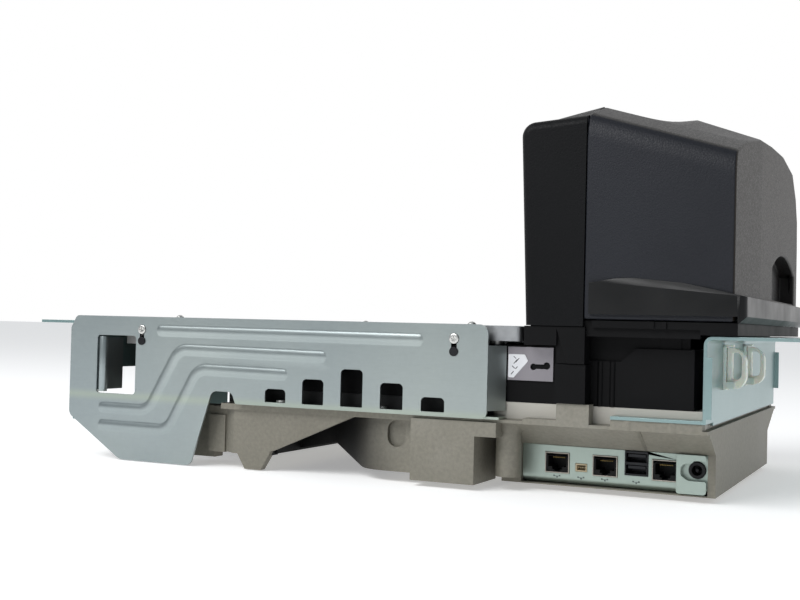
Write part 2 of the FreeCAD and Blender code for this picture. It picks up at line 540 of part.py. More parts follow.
KEY_PLATE = (92.4, 121.6, 68.0, 88.6)
plate = profile_xz(rect(*KEY_PLATE), -TRAY_HALF_WIDTH - 1.2, -TRAY_HALF_WIDTH - 0.01)
slot = fuse([cylinder(117.5, -135, 77.4, 2.2, 10, (0, 1, 0)), cylinder(109.0, -135, 76.6, 2.0, 10, (0, 1, 0)),
             box(108, 117, -135, -125, 75.4, 78.2)])
export("lock_plate", cut(plate, [slot]))
label_outline = [(92.8, 69.6), (96.4, 69.6), (105.6, 80.0), (103.4, 84.0), (92.8, 84.0)]
export("service_label", profile_xz(label_outline, -TRAY_HALF_WIDTH - 1.5, -TRAY_HALF_WIDTH - 1.21, 0.8))


# ---------------------------------------------------------------- weighing mechanism
CELL = (-226.0, -118.0, 15.0, CELL_LOW_Z, CELL_LOW_Z + 17.0)   # x from, x to, half width, z from, to
SPIDER_LOW_Z = 82.0
SPIDER_TOP_Z = 88.0
SPIDER_OUT = (-206.0, 97.0, 125.0)
SPIDER_IN = (-112.0, 90.0, 101.5)
SCREW_PLACES = [(-196.0, -113.0), (-196.0, 113.0), (78.0, -113.0), (78.0, 113.0)]
WEIGH_TRAVEL = 0.8

cell = box(CELL[0], CELL[1], -CELL[2], CELL[2], CELL[3], CELL[4])
cell_mid = (CELL[3] + CELL[4]) / 2
bean = [cylinder(x, -20, cell_mid, 6.0, 40, (0, 1, 0)) for x in (-180, -164)]
export("load_cell", cut(cell, bean + [box(-180, -164, -20, 20, cell_mid - 3, cell_mid + 3)]))

frame = box(SPIDER_OUT[0], SPIDER_OUT[1], -SPIDER_OUT[2], SPIDER_OUT[2], SPIDER_LOW_Z, SPIDER_TOP_Z)
frame_hole = box(SPIDER_IN[0], SPIDER_IN[1], -SPIDER_IN[2], SPIDER_IN[2], SPIDER_LOW_Z - 1, SPIDER_TOP_Z + 1)
light_holes = [profile_xy(rect(-184, -150, y - 24, y + 24), SPIDER_LOW_Z - 1, SPIDER_TOP_Z + 1, 8)
               for y in (-62, 62)]
foot_pad = box(-146, -118.4, -CELL[2], CELL[2], CELL[4] + BODY_GAP + WEIGH_TRAVEL, SPIDER_LOW_Z + 1)
screw_bores = [cylinder(x, y, SPIDER_LOW_Z - 1, LEVEL_SCREW_R + RUNNING_FIT, 10) for x, y in SCREW_PLACES]
export("weigh_spider", cut(fuse([frame, foot_pad]), [frame_hole] + light_holes + screw_bores))

SCREW_TIP_Z = COUNTER_Z - PLATTER_SHEET - SCREW_TIP_GAP
for index, (x, y) in enumerate(SCREW_PLACES, start=1):
    shank = cylinder(x, y, SPIDER_LOW_Z - 5, LEVEL_SCREW_R, SPIDER_TOP_Z - SPIDER_LOW_Z + 6)
    head = cylinder(x, y, SPIDER_TOP_Z + 0.3, 5.5, SCREW_TIP_Z - SPIDER_TOP_Z - 0.3)
    hexagon = [(x + 2.3 * math.cos(math.radians(60 * k)), y + 2.3 * math.sin(math.radians(60 * k)))
               for k in range(6)]
    key_way = profile_xy(hexagon, SCREW_TIP_Z - 4, SCREW_TIP_Z + 1)
    export(f"levelling_screw_{index}", cut(fuse([shank, head]), [key_way]))


# ---------------------------------------------------------------- platter
PLATTER_HALF_Y = -PANEL_IN_Y - PANEL_LIP - PLATTER_GAP
LEVER_X = (84.0, 101.0)
LEVER_HALF_Y = 19.0
LEVER_PIN_R = 1.2
LEVER_PIN_Z = COUNTER_Z - 2.6
GLASS_CENTRE_X = -16.0


def platter():
    """Stainless tray with folded rim, window opening with a stepped seat, and the lever's pocket."""
    shell = profile_xy(rect(PLATTER_LEFT, PLATTER_RIGHT, -PLATTER_HALF_Y, PLATTER_HALF_Y),
                       COUNTER_Z - PLATTER_RIM, COUNTER_Z, 4)
    inside = profile_xy(rect(PLATTER_LEFT + PLATTER_SHEET, PLATTER_RIGHT - PLATTER_SHEET,
                             -PLATTER_HALF_Y + PLATTER_SHEET, PLATTER_HALF_Y - PLATTER_SHEET),
                        COUNTER_Z - PLATTER_RIM - 1, COUNTER_Z - PLATTER_SHEET, 2.5)
    gx, gl, gw = GLASS_CENTRE_X, GLASS_LENGTH / 2, GLASS_WIDTH / 2
    seat_low = COUNTER_Z - GLASS_THICK - 1.6
    seat = profile_xy(rect(gx - gl - 5, gx + gl + 5, -gw - 5, gw + 5), seat_low, COUNTER_Z - 1, 6)
    pocket_glass = profile_xy(rect(gx - gl, gx + gl, -gw, gw), seat_low + 1.5, COUNTER_Z + 1, 4)
    through = profile_xy(rect(gx - gl + 6, gx + gl - 6, -gw + 6, gw - 6), seat_low - 1, COUNTER_Z, 3)
    lugs = [box(LEVER_X[0] - 3, LEVER_X[0] + 3.4, y0, y0 + 3, LEVER_PIN_Z - 2.6, COUNTER_Z - 1)
            for y0 in (-LEVER_HALF_Y - 3.6, LEVER_HALF_Y + 0.6)]
    pocket = box(LEVER_X[0] - 3.2, LEVER_X[1] - 1, -LEVER_HALF_Y - 0.6, LEVER_HALF_Y + 0.6, 80, COUNTER_Z + 1)
    pin = cylinder(LEVER_X[0], -LEVER_HALF_Y - 2, LEVER_PIN_Z, LEVER_PIN_R, 2 * LEVER_HALF_Y + 4, (0, 1, 0))
    tray = cut(shell, [inside])
    tray = cut(fuse([tray, seat] + lugs), [pocket_glass, through, pocket])
    return fuse([tray, pin])


export("platter", platter())
gx, gl, gw = GLASS_CENTRE_X, GLASS_LENGTH / 2 - 0.2, GLASS_WIDTH / 2 - 0.2
export("platter_glass", profile_xy(rect(gx - gl, gx + gl, -gw, gw), COUNTER_Z - GLASS_THICK - 0.1 + 0.02,
                                   COUNTER_Z - 0.08, 3.8))

lever_body = box(LEVER_X[0], LEVER_X[1] - 1.6, -LEVER_HALF_Y, LEVER_HALF_Y, COUNTER_Z - 2.4, COUNTER_Z - 0.4)
lever_barrel = cylinder(LEVER_X[0], -LEVER_HALF_Y, LEVER_PIN_Z, 2.2, 2 * LEVER_HALF_Y, (0, 1, 0))
lever_tip = box(LEVER_X[1] - 5, LEVER_X[1] - 1.6, -LEVER_HALF_Y, LEVER_HALF_Y, COUNTER_Z - 5.4, COUNTER_Z - 1)
lever_bore = cylinder(LEVER_X[0], -LEVER_HALF_Y - 1, LEVER_PIN_Z, LEVER_PIN_R + RUNNING_FIT,
                      2 * LEVER_HALF_Y + 2, (0, 1, 0))
export("platter_lift_lever", cut(fuse([lever_body, lever_barrel, lever_tip]), [lever_bore]))


# ---------------------------------------------------------------- connector bay
IO_SHEET = 1.2
IO_ROLL_R = 4.4            # outer radius of the plate's rolled bottom edge
IO_Z = (4.2, 27.6)
JACK_Z = 10.6
JACKS_X = [111.1, 141.5, 178.2]
HEADER = (130.6, 137.8, 12.4, 17.2)
USB = (161.6, 175.6, 12.6, 27.2)
DC_JACK = (205.0, 18.6)
DC_JACK_R = 4.9


def connector_plate():
    section = [(IO_FACE_Y, IO_Z[1]), (IO_FACE_Y, IO_Z[0], IO_ROLL_R), (IO_FACE_Y + 10, IO_Z[0]),
               (IO_FACE_Y + 10, IO_Z[0] + IO_SHEET),
               (IO_FACE_Y + IO_SHEET, IO_Z[0] + IO_SHEET, IO_ROLL_R - IO_SHEET),
               (IO_FACE_Y + IO_SHEET, IO_Z[1])]
    sheet = profile_yz(section, POCKET[0] + 0.3, POCKET[1] - 0.3)
    holes = [box(x - 0.2, x + JACK_WIDTH + 0.2, IO_FACE_Y - 1, IO_FACE_Y + 3,
                 JACK_Z - 0.2, JACK_Z + JACK_HEIGHT + 0.2) for x in JACKS_X]
    for left, right, low, high in (HEADER, USB):
        holes.append(box(left - 0.2, right + 0.2, IO_FACE_Y - 1, IO_FACE_Y + 3, low - 0.2, high + 0.2))
    holes.append(cylinder(DC_JACK[0], IO_FACE_Y - 1, DC_JACK[1], DC_JACK_R + 0.2, 4, (0, 1, 0)))
    return cut(sheet, holes)


export("connector_plate", connector_plate())
export("connector_board", box(POCKET[0] + 2, POCKET[1] - 2, IO_FACE_Y + 10, END_BOX_NEAR + 23, 6.4, 8.0))

JACK_FRONT_Y = IO_FACE_Y - 0.8
SOCKET_WIDTH = 11.8
SOCKET_HEIGHT = 7.2
for index, x in enumerate(JACKS_X, start=1):
    middle = x + JACK_WIDTH / 2
    body = box(x, x + JACK_WIDTH, JACK_FRONT_Y, JACK_FRONT_Y + JACK_DEPTH, JACK_Z, JACK_Z + JACK_HEIGHT)
    socket = box(middle - SOCKET_WIDTH / 2, middle + SOCKET_WIDTH / 2, JACK_FRONT_Y - 1, JACK_FRONT_Y + 13,
                 JACK_Z + 3.8, JACK_Z + 3.8 + SOCKET_HEIGHT)
    latch_way = box(middle - 3.2, middle + 3.2, JACK_FRONT_Y - 1, JACK_FRONT_Y + 13, JACK_Z + 2.0, JACK_Z + 4)
    latch_low = box(middle - 1.8, middle + 1.8, JACK_FRONT_Y - 1, JACK_FRONT_Y + 13, JACK_Z + 0.9, JACK_Z + 3)
    export(f"network_jack_{index}", cut(body, [socket, latch_way, latch_low]))

left, right, low, high = USB
usb = box(left, right, JACK_FRONT_Y, JACK_FRONT_Y + 14, low, high)
ports, tongues = [], []
for port_z in (low + 1.0, low + 8.0):
    ports.append(box(left + 0.75, right - 0.75, JACK_FRONT_Y - 1, JACK_FRONT_Y + 12, port_z, port_z + 5.4))
    tongues.append(box(left + 1.6, right - 1.6, JACK_FRONT_Y + 1.5, JACK_FRONT_Y + 12.5,
                       port_z + 3.0, port_z + 4.8))
export("dual_usb_socket", fuse([cut(usb, ports)] + tongues))

left, right, low, high = HEADER
header = box(left, right, JACK_FRONT_Y + 0.4, JACK_FRONT_Y + 9, low, high)
header_cup = box(left + 0.8, right - 0.8, JACK_FRONT_Y - 1, JACK_FRONT_Y + 7, low + 0.8, high - 0.8)
pin_z = (low + high) / 2
header_pins = [box(x - 0.3, x + 0.3, JACK_FRONT_Y + 2, JACK_FRONT_Y + 8, pin_z - 0.3, pin_z + 0.3)
               for x in [left + 1.6 + 1.33 * k for k in range(4)]]
export("pin_header", fuse([cut(header, [header_cup])] + header_pins))

x, z = DC_JACK
barrel = cylinder(x, JACK_FRONT_Y - 1.2, z, DC_JACK_R, 13, (0, 1, 0))
well = cylinder(x, JACK_FRONT_Y - 2, z, 3.1, 11, (0, 1, 0))
centre_pin = cylinder(x, JACK_FRONT_Y - 0.4, z, 1.0, 11, (0, 1, 0))
export("power_jack", fuse([cut(barrel, [well]), centre_pin]))

# Sliding guard that closes behind the power plug's shoulder.
GUARD = (193.4, 210.9, 4.6, 27.8)
GUARD_Y = END_BOX_NEAR - 2.2
guard = profile_xz([(GUARD[0], GUARD[2], 1.5), (GUARD[1], GUARD[2], 2), (GUARD[1], 12.4, 1),
                    (GUARD[0] + 7, 12.4, 4), (GUARD[0] + 2.6, 15.4, 3), (GUARD[0] + 2.6, 22.6, 4),
                    (GUARD[0] + 9, 22.6, 1), (GUARD[0] + 10.4, 24.4, 1), (GUARD[1], 24.4, 1),
                    (GUARD[1], GUARD[3], 1.5), (GUARD[0], GUARD[3], 1.5)], GUARD_Y, GUARD_Y + 1.2)
export("power_plug_guard", guard)


# ---------------------------------------------------------------- tower
ROOF_EDGE_Z = 228.0        # the roof's side edge at the split, its highest point
ROOF_BACK_Z = 202.0        # and at the back
CREST_RISE = 10.5          # the roof climbs this much from its edge to the shoulder line
SHOULDER_Y = 107.0
COVER_LOW_Z = 106.4
FRAME_LOW_Z = 96.2
FRONT_WALL_LOW_Z = 90.2
FRAME_TOP_Z = 106.0
BEZEL_LOW_Z = 102.0
BEZEL_TOP_FRONT_Z = 224.8
BEZEL_ROUND_R = 6.0
WINDOW_HALF_Y = 104.0
TOWER_WINDOW_Z = (120.0, 198.0)
ARCH = (6.6, 126.0, 123.2, 156.0)          # recess in the back: y from, y to, z from, crown z
ARCH_DEPTH = 14.0
SEAM = 0.3


def roof_edge(x):
    """Height of the roof's side edge at x."""
    return ROOF_EDGE_Z + (ROOF_BACK_Z - ROOF_EDGE_Z) * (x - TOWER_SPLIT) / (TOWER_BACK - TOWER_SPLIT)


def rear_cover_section(x, inner_y, inner_z, far_y, far_z):
    """Cross-section of the rear cover at x: crest on the near side, broad shoulder on the far side."""
    edge = roof_edge(x)
    half = TOWER_HALF_WIDTH
    near_edge = [(-half, COVER_LOW_Z), (-half, edge - 14), (-half + 0.7, edge - 8), (-half + 2.2, edge - 3),
                 (-half + 4.6, edge + 0.3), (-half + 8.2, edge + 2.3)]
    return (x, near_edge + [(-SHOULDER_Y, edge + CREST_RISE), (inner_y, inner_z),
                (0, inner_z + 3), (far_y, far_z), (SHOULDER_Y + 2, edge + CREST_RISE + 9), (131, edge + 3),
                (half - 2, edge - 14), (half, edge - 36), (half, COVER_LOW_Z)])


def rear_cover():
    outer = loft([
        rear_cover_section(TOWER_SPLIT + SEAM, -55, 240.0, 55, 240.0),
        rear_cover_section(176.0, -55, 236.0, 55, 236.0),
        rear_cover_section(191.0, -58, 236.0, 55, 234.0),
        rear_cover_section(TOWER_BACK, -50, 222.6, 55, 227.0),
    ])
    wall = TOWER_WALL
    roof = [(TOWER_SPLIT - 1, COVER_LOW_Z - 1), (TOWER_SPLIT - 1, ROOF_EDGE_Z - wall),
            (TOWER_BACK - wall, ROOF_BACK_Z - wall), (TOWER_BACK - wall, COVER_LOW_Z - 1)]
    inside = profile_xz(roof, -TOWER_HALF_WIDTH + wall, 118)
    inside_far = box(TOWER_SPLIT - 1, TOWER_BACK - wall, 117, TOWER_HALF_WIDTH - wall, COVER_LOW_Z - 1, 160)
    y0, y1, z0, crown = ARCH
    middle = (y0 + y1) / 2
    side_z = crown - 12
    arch_wire = Part.Wire([
        Part.makeLine(Vector(TOWER_BACK + 9, y0, z0), Vector(TOWER_BACK + 9, y0, side_z)),
        Part.Arc(Vector(TOWER_BACK + 9, y0, side_z), Vector(TOWER_BACK + 9, middle, crown),
                 Vector(TOWER_BACK + 9, y1, side_z)).toShape(),
        Part.makeLine(Vector(TOWER_BACK + 9, y1, side_z), Vector(TOWER_BACK + 9, y1, z0)),
        Part.makeLine(Vector(TOWER_BACK + 9, y1, z0), Vector(TOWER_BACK + 9, y0, z0)),
    ])
    arch = Part.Face(arch_wire).extrude(Vector(-20, 0, 0))
    shell = cut(outer, [inside, inside_far])
    niche = box(TOWER_BACK - ARCH_DEPTH, TOWER_BACK - 1, y0 - wall, y1 + wall, z0 - wall, crown + wall)
    pocket = Part.Face(arch_wire).extrude(Vector(-9 - ARCH_DEPTH + wall, 0, 0))
    return cut(fuse([cut(shell, [arch]), niche]), [pocket])


export("tower_rear_cover", rear_cover())


def front_bezel():
    """Front moulding: raked face round the reading window, wrapped back along both sides."""
    side = [(TOWER_FOOT_X, BEZEL_LOW_Z), (TOWER_FRONT, BEZEL_TOP_FRONT_Z, 9), (TOWER_SPLIT, ROOF_EDGE_Z),
            (TOWER_SPLIT, BEZEL_LOW_Z)]
    half = TOWER_HALF_WIDTH
    body = profile_xz(side, -half, half)
    rims = [edge for edge in body.Edges
            if abs(abs(edge.CenterOfMass.y) - half) < 0.01 and edge.BoundBox.ZMax > BEZEL_TOP_FRONT_Z - 12
            and edge.BoundBox.XMin < TOWER_SPLIT - 1]
    body = body.makeFillet(BEZEL_ROUND_R, rims)
    crown = []
    for x, rise in ((112.0, 3.0), (120.0, 7.5), (TOWER_SPLIT, CREST_RISE)):
        share = (x - TOWER_FRONT) / (TOWER_SPLIT - TOWER_FRONT)
        z = BEZEL_TOP_FRONT_Z + (ROOF_EDGE_Z - BEZEL_TOP_FRONT_Z) * share
        side_y = half - BEZEL_ROUND_R - 1
        crown.append((x, [(-side_y, z - 4), (-side_y, z - 0.2), (-SHOULDER_Y, z + rise), (0, z + rise + 2.0),
                          (SHOULDER_Y, z + rise), (side_y, z - 0.2), (side_y, z - 4)]))
    wall = TOWER_WALL
    inner = profile_xz([(TOWER_FOOT_X + wall, BEZEL_LOW_Z - 1),
                        (TOWER_FRONT + wall, BEZEL_TOP_FRONT_Z - wall, 5),
                        (TOWER_SPLIT + 1, ROOF_EDGE_Z - wall), (TOWER_SPLIT + 1, BEZEL_LOW_Z - 1)],
                       -half + wall, half - wall)
    low, high = TOWER_WINDOW_Z
    hole = box(TOWER_FRONT - 2, 112, -WINDOW_HALF_Y, WINDOW_HALF_Y, low, high)
    tools = [inner, hole]
    for y, z in BUTTON_PLACES:
        tools.append(cylinder(TOWER_FRONT - 2, y, z, BUTTON_R + BODY_GAP, 12, (1, 0, 0)))
    for row in range(5):
        for column in range(3):
            tools.append(cylinder(TOWER_FRONT - 2, 118 + 6 * column, 150 + 6 * row, 1.4, 12, (1, 0, 0)))
    tools.append(box(TOWER_FRONT - 2, 112, -12, 12, 203.0, 207.0))
    return cut(fuse([body, loft(crown)]), tools)


BUTTON_PLACES = [(-124.0, 176.0), (-124.0, 156.0)]
export("tower_front_bezel", front_bezel())


def face_x(z):
    """Where the bezel's raked front face lies at height z."""
    share = (z - BEZEL_LOW_Z) / (BEZEL_TOP_FRONT_Z - BEZEL_LOW_Z)
    return TOWER_FOOT_X + (TOWER_FRONT - TOWER_FOOT_X) * share


low, high = TOWER_WINDOW_Z
glass_back = 2.2
window = profile_xz([(face_x(low) + 0.8, low + 0.3), (face_x(high) + 0.8, high - 0.3),
                     (face_x(high) + glass_back, high - 0.3), (face_x(low) + glass_back, low + 0.3)],
                    -WINDOW_HALF_Y + 0.3, WINDOW_HALF_Y - 0.3)
export("tower_window_glass", window)

for name, (y, z) in zip(("volume_button", "scale_zero_button"), BUTTON_PLACES):
    front = face_x(z) - 1.6
    export(name, fuse([cylinder(front, y, z, BUTTON_R, 6.0, (1, 0, 0)),
                       cylinder(front + 6.0, y, z, BUTTON_R - 1.4, 2.0, (1, 0, 0))]))
switch_x = face_x(150) + 8.6
export("button_switch_board", fuse([box(switch_x + 1.4, switch_x + 3.0, -131, -117, 146, 186),
                                    box(switch_x + 1.4, switch_x + 3.0, -128, -120, FRAME_TOP_Z + 3.1, 147)]
                                   + [box(switch_x - 0.2, switch_x + 1.6, y - 3, y + 3, z - 3, z + 3)
                                      for y, z in BUTTON_PLACES]))
export("status_light_bar", box(face_x(205) + 0.4, face_x(205) + 3.4, -11.8, 11.8, 203.2, 206.8))
speaker_x = face_x(147) + 3.5
export("speaker", fuse([cylinder(speaker_x, 124, 162, 15, 4, (1, 0, 0)),
                        cylinder(speaker_x + 4, 124, 162, 8, 6, (1, 0, 0))]))


def apron():
    """Deep collar round the tower's foot: a swept side plate on each side and the lip at the back."""
    outline = [(TOWER_SPLIT + 3.8, LIP_LOW_Z), (TOWER_SPLIT + 3.8, 128.0), (151.5, 128.4),
               (163, 130.6), (177.4, 131.0), (196, 129.2), (214, 125.6), (LIP_BACK, LIP_TOP_Z),
               (LIP_BACK, LIP_LOW_Z), (LIP_BACK - 3.6, LIP_LOW_Z - 3.6), (LIP_BACK - 4.6, LIP_LOW_Z - 3.6),
               (LIP_BACK - 4.6, LIP_LOW_Z)]
    half = UNIT_WIDTH / 2
    whole = profile_xz(outline, -half, half)
    plug = box(TOWER_SPLIT, TOWER_BACK + SEAM, -TOWER_HALF_WIDTH - SEAM, TOWER_HALF_WIDTH + SEAM, 90, 140)
    rounds = [cylinder(LIP_BACK - 5, side * (half - 5), 90, 5, 45) for side in (-1, 1)]
    keep = fuse([box(TOWER_SPLIT, LIP_BACK - 5, -half, half, 90, 140),
                 box(TOWER_SPLIT, LIP_BACK, -half + 5, half - 5, 90, 140)] + rounds)
    # the crescent over the straight edge leans back to the cover
    crescent = loft([(x, [(-half - 2, z), (-half, z), (-half + 3, z + 6), (-half + 3, z + 12),
                          (-half - 2, z + 12)])
                     for x, z in ((TOWER_SPLIT, 129.2), (LIP_BACK + 1, LIP_TOP_Z - 0.1))])
    return cut(whole.common(keep), [plug, crescent, mirror_y(crescent)])


export("tower_apron", apron())


def tower_frame():
    """Black structural frame under the tower, from the tray's walls up to the covers."""
    half = TOWER_HALF_WIDTH - 1.0
    deck_half = TOWER_HALF_WIDTH - TOWER_WALL - BODY_GAP
    skirt = box(TOWER_SPLIT + 5.2, LIP_BACK - 5, -half, half, 101.4, FRAME_TOP_Z - SEAM)
    rear_skirt = box(BRACKET_X - 2, LIP_BACK - 5, -half, half, FLANGE_TOP_Z + 0.5, FRAME_TOP_Z - SEAM)
    deck_front = TOWER_FOOT_X + TOWER_WALL + BODY_GAP
    deck = box(deck_front, BRACKET_X - 2, -deck_half, deck_half, FRAME_LOW_Z, FRAME_TOP_Z - SEAM)
    front_wall = box(TOWER_FOOT_X + 0.2, deck_front + 1, -half, half, FRONT_WALL_LOW_Z, BEZEL_LOW_Z - SEAM)
    inner = box(116.0, 204.0, -124, 124, FRAME_LOW_Z - 1, FRAME_TOP_Z + 1)
    clear = TRAY_HALF_WIDTH + 1.6
    low, top = LEG_TOP_Z + BODY_GAP, BEZEL_LOW_Z - SEAM
    near_pieces = [
        box(TOWER_FOOT_X + 0.2, 127, -half, -half + 3, FRONT_WALL_LOW_Z, top),
        box(126.4, 144.4, -half + 2, -clear, low, top),
        profile_xz([(126.4, top), (134, low), (144.4, low), (144.4, top)], -half, -half + 3),
        box(126.4, 144.4, -deck_half, -clear, top - 1, FRAME_TOP_Z - SEAM),
        box(128, 203, -TRAY_HALF_WIDTH + TRAY_WALL + BODY_GAP, -124, 78, FRAME_LOW_Z + 1),
    ]
    near_pieces += [box(x, x + 2.4, -half - 1, -half + 1, 101.4, FRAME_TOP_Z - SEAM) for x in (183, 190)]
    near_pieces += [box(x, x + 12, -127, -115, TRAY_FLOOR_Z + TRAY_WALL, FRAME_LOW_Z + 1) for x in (128, 186)]
    return fuse([cut(fuse([skirt, rear_skirt, deck, front_wall]), [inner])] + near_pieces
                + [mirror_y(piece) for piece in near_pieces])


export("tower_frame", tower_frame())

MIRROR_HALF_Y = 96.0
export("tower_fold_mirror", profile_xz([(216, 112), (219, 112), (203, 190), (200, 190)], -MIRROR_HALF_Y, 0))
export("tower_upper_mirror",
       profile_xz([(150, 212), (186, 204), (186.6, 207), (150.6, 215)], -MIRROR_HALF_Y, MIRROR_HALF_Y))
export("tower_camera", fuse([box(186, 200, 20, 52, 130, 158), cylinder(174, 36, 144, 8, 12, (-1, 0, 0)),
                             cylinder(173, 36, 144, 5, 14, (1, 0, 0))]))
bars = [box(120, 126, side * 118 - 3, side * 118 + 3, 124, 200) for side in (-1, 1)]
export("tower_led_bars", Part.makeCompound(bars))
carrier = fuse([box(112, 222, -131, 131, FRAME_TOP_Z + 0.1, FRAME_TOP_Z + 3.1),
                box(186, 200, 22, 50, FRAME_TOP_Z + 3, 130)]
               + [box(121, 125, side * 118 - 2, side * 118 + 2, FRAME_TOP_Z + 3, 124) for side in (-1, 1)]
               + [box(214, 220, y - 4, y + 4, FRAME_TOP_Z + 3, 112) for y in (-80, -16)]
               + [box(180, 184, side * 92 - 3, side * 92 + 3, FRAME_TOP_Z + 3, 204.2) for side in (-1, 1)])
export("tower_optics_carrier", carrier)
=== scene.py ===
from math import pi, radians

import bmesh
import bpy
from mathutils import Euler, Matrix, Vector


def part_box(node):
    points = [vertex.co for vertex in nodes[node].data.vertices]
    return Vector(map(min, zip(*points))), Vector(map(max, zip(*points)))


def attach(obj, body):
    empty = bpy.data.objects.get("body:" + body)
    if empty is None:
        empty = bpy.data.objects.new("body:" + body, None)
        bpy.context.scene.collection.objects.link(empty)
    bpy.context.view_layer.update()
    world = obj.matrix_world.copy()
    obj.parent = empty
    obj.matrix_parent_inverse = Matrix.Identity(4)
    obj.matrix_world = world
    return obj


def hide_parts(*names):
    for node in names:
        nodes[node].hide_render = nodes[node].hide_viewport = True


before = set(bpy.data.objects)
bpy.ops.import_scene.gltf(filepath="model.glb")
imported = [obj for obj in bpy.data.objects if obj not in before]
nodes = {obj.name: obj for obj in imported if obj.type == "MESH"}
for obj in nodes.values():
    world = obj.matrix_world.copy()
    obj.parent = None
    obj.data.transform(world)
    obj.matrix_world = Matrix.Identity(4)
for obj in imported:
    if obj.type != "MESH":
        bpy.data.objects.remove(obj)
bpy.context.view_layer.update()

# ------------------------------------------------------------------ studio
# A plain white sweep: pale floor under the unit, an even white surround that is a little darker to
# the sides and behind the viewer, one large soft light from the upper left and one from the right.
bpy.ops.object.select_all(action="DESELECT")
scene = bpy.context.scene
scene.view_settings.view_transform = "Standard"

VIEW_TURN = 25.46          # degrees the camera looks left of +Y
VIEW_LIFT = 1.24           # degrees it looks up
VIEW_ROLL = 1.385
VIEW_FROM = (0.3386, -0.8050, 0.1002)
AWAY_FROM_VIEWER = (-0.43, 0.90, 0.0)
camera_data = bpy.data.cameras.new("camera")
camera_data.lens = 52.0
camera_data.sensor_width = 36.0
camera_data.clip_end = 50.0
camera = bpy.data.objects.new("camera", camera_data)
scene.collection.objects.link(camera)
camera.location = VIEW_FROM
turn = Euler((radians(90 + VIEW_LIFT), 0, radians(VIEW_TURN))).to_matrix()
camera.rotation_euler = (turn @ Euler((0, 0, radians(VIEW_ROLL))).to_matrix()).to_euler()
scene.camera = camera

world = bpy.data.worlds.new("surround")
scene.world = world
world.use_nodes = True
sky = world.node_tree
around = sky.nodes.new("ShaderNodeTexCoord")
split = sky.nodes.new("ShaderNodeSeparateXYZ")
facing = sky.nodes.new("ShaderNodeVectorMath")
facing.operation = "DOT_PRODUCT"
facing.inputs[1].default_value = AWAY_FROM_VIEWER
fade = sky.nodes.new("ShaderNodeValToRGB")
fade.color_ramp.elements[0].position = 0.15
fade.color_ramp.elements[0].color = (0.27, 0.29, 0.31, 1)
fade.color_ramp.elements[1].position = 0.70
fade.color_ramp.elements[1].color = (1, 1, 1, 1)
lift = sky.nodes.new("ShaderNodeValToRGB")
lift.color_ramp.elements[0].position = 0.36
lift.color_ramp.elements[0].color = (0.16, 0.16, 0.16, 1)
lift.color_ramp.elements[1].position = 0.48
lift.color_ramp.elements[1].color = (1, 1, 1, 1)
height = sky.nodes.new("ShaderNodeMath")
height.operation = "MULTIPLY_ADD"
height.inputs[1].default_value = 0.5
height.inputs[2].default_value = 0.5
both = sky.nodes.new("ShaderNodeMix")
both.data_type = "RGBA"
both.blend_type = "MULTIPLY"
both.inputs[0].default_value = 1.0
sky.links.new(around.outputs["Generated"], facing.inputs[0])
sky.links.new(around.outputs["Generated"], split.inputs[0])
sky.links.new(facing.outputs["Value"], fade.inputs[0])
sky.links.new(split.outputs["Z"], height.inputs[0])
sky.links.new(height.outputs[0], lift.inputs[0])
sky.links.new(fade.outputs[0], both.inputs[6])
sky.links.new(lift.outputs[0], both.inputs[7])
sky.links.new(both.outputs[2], sky.nodes["Background"].inputs["Color"])
sky.nodes["Background"].inputs["Strength"].default_value = 1.0


def soft_light(name, place, aim, size, watts, tint=(1, 1, 1)):
    data = bpy.data.lights.new(name, "AREA")
    data.shape = "RECTANGLE"
    data.size, data.size_y = size
    data.energy = watts
    data.color = tint
    light = bpy.data.objects.new(name, data)
    scene.collection.objects.link(light)
    light.location = place
    light.rotation_euler = (Vector(aim) - Vector(place)).to_track_quat("-Z", "Y").to_euler()


soft_light("key", (-0.8, -1.5, 1.5), (0.05, 0, 0.1), (1.9, 1.0), 38)
soft_light("side", (1.9, 0.5, 0.9), (0.2, 0, 0.15), (0.9, 1.1), 4)

bpy.ops.mesh.primitive_plane_add(size=30, location=(0, 0, -0.0006))
floor = bpy.context.object
floor.name = "floor"
floor_paint = bpy.data.materials.new("floor_paint")
floor_paint.use_nodes = True
floor_shader = floor_paint.node_tree.nodes["Principled BSDF"]
floor_shader.inputs["Base Color"].default_value = (0.88, 0.88, 0.88, 1)
floor_shader.inputs["Roughness"].default_value = 0.95
floor_shader.inputs["Specular IOR Level"].default_value = 0.0
floor_shader.inputs["Emission Color"].default_value = (1, 1, 1, 1)
floor_shader.inputs["Emission Strength"].default_value = 0.34
floor.data.materials.append(floor_paint)


# ------------------------------------------------------------------ zinc-plated sheet
# Side panels, hanger brackets and small plates are pressed from bright zinc-plated steel. The
# plating is bluish, greener where it was drawn round a bend, with fine rolling grain.
MM = 0.001


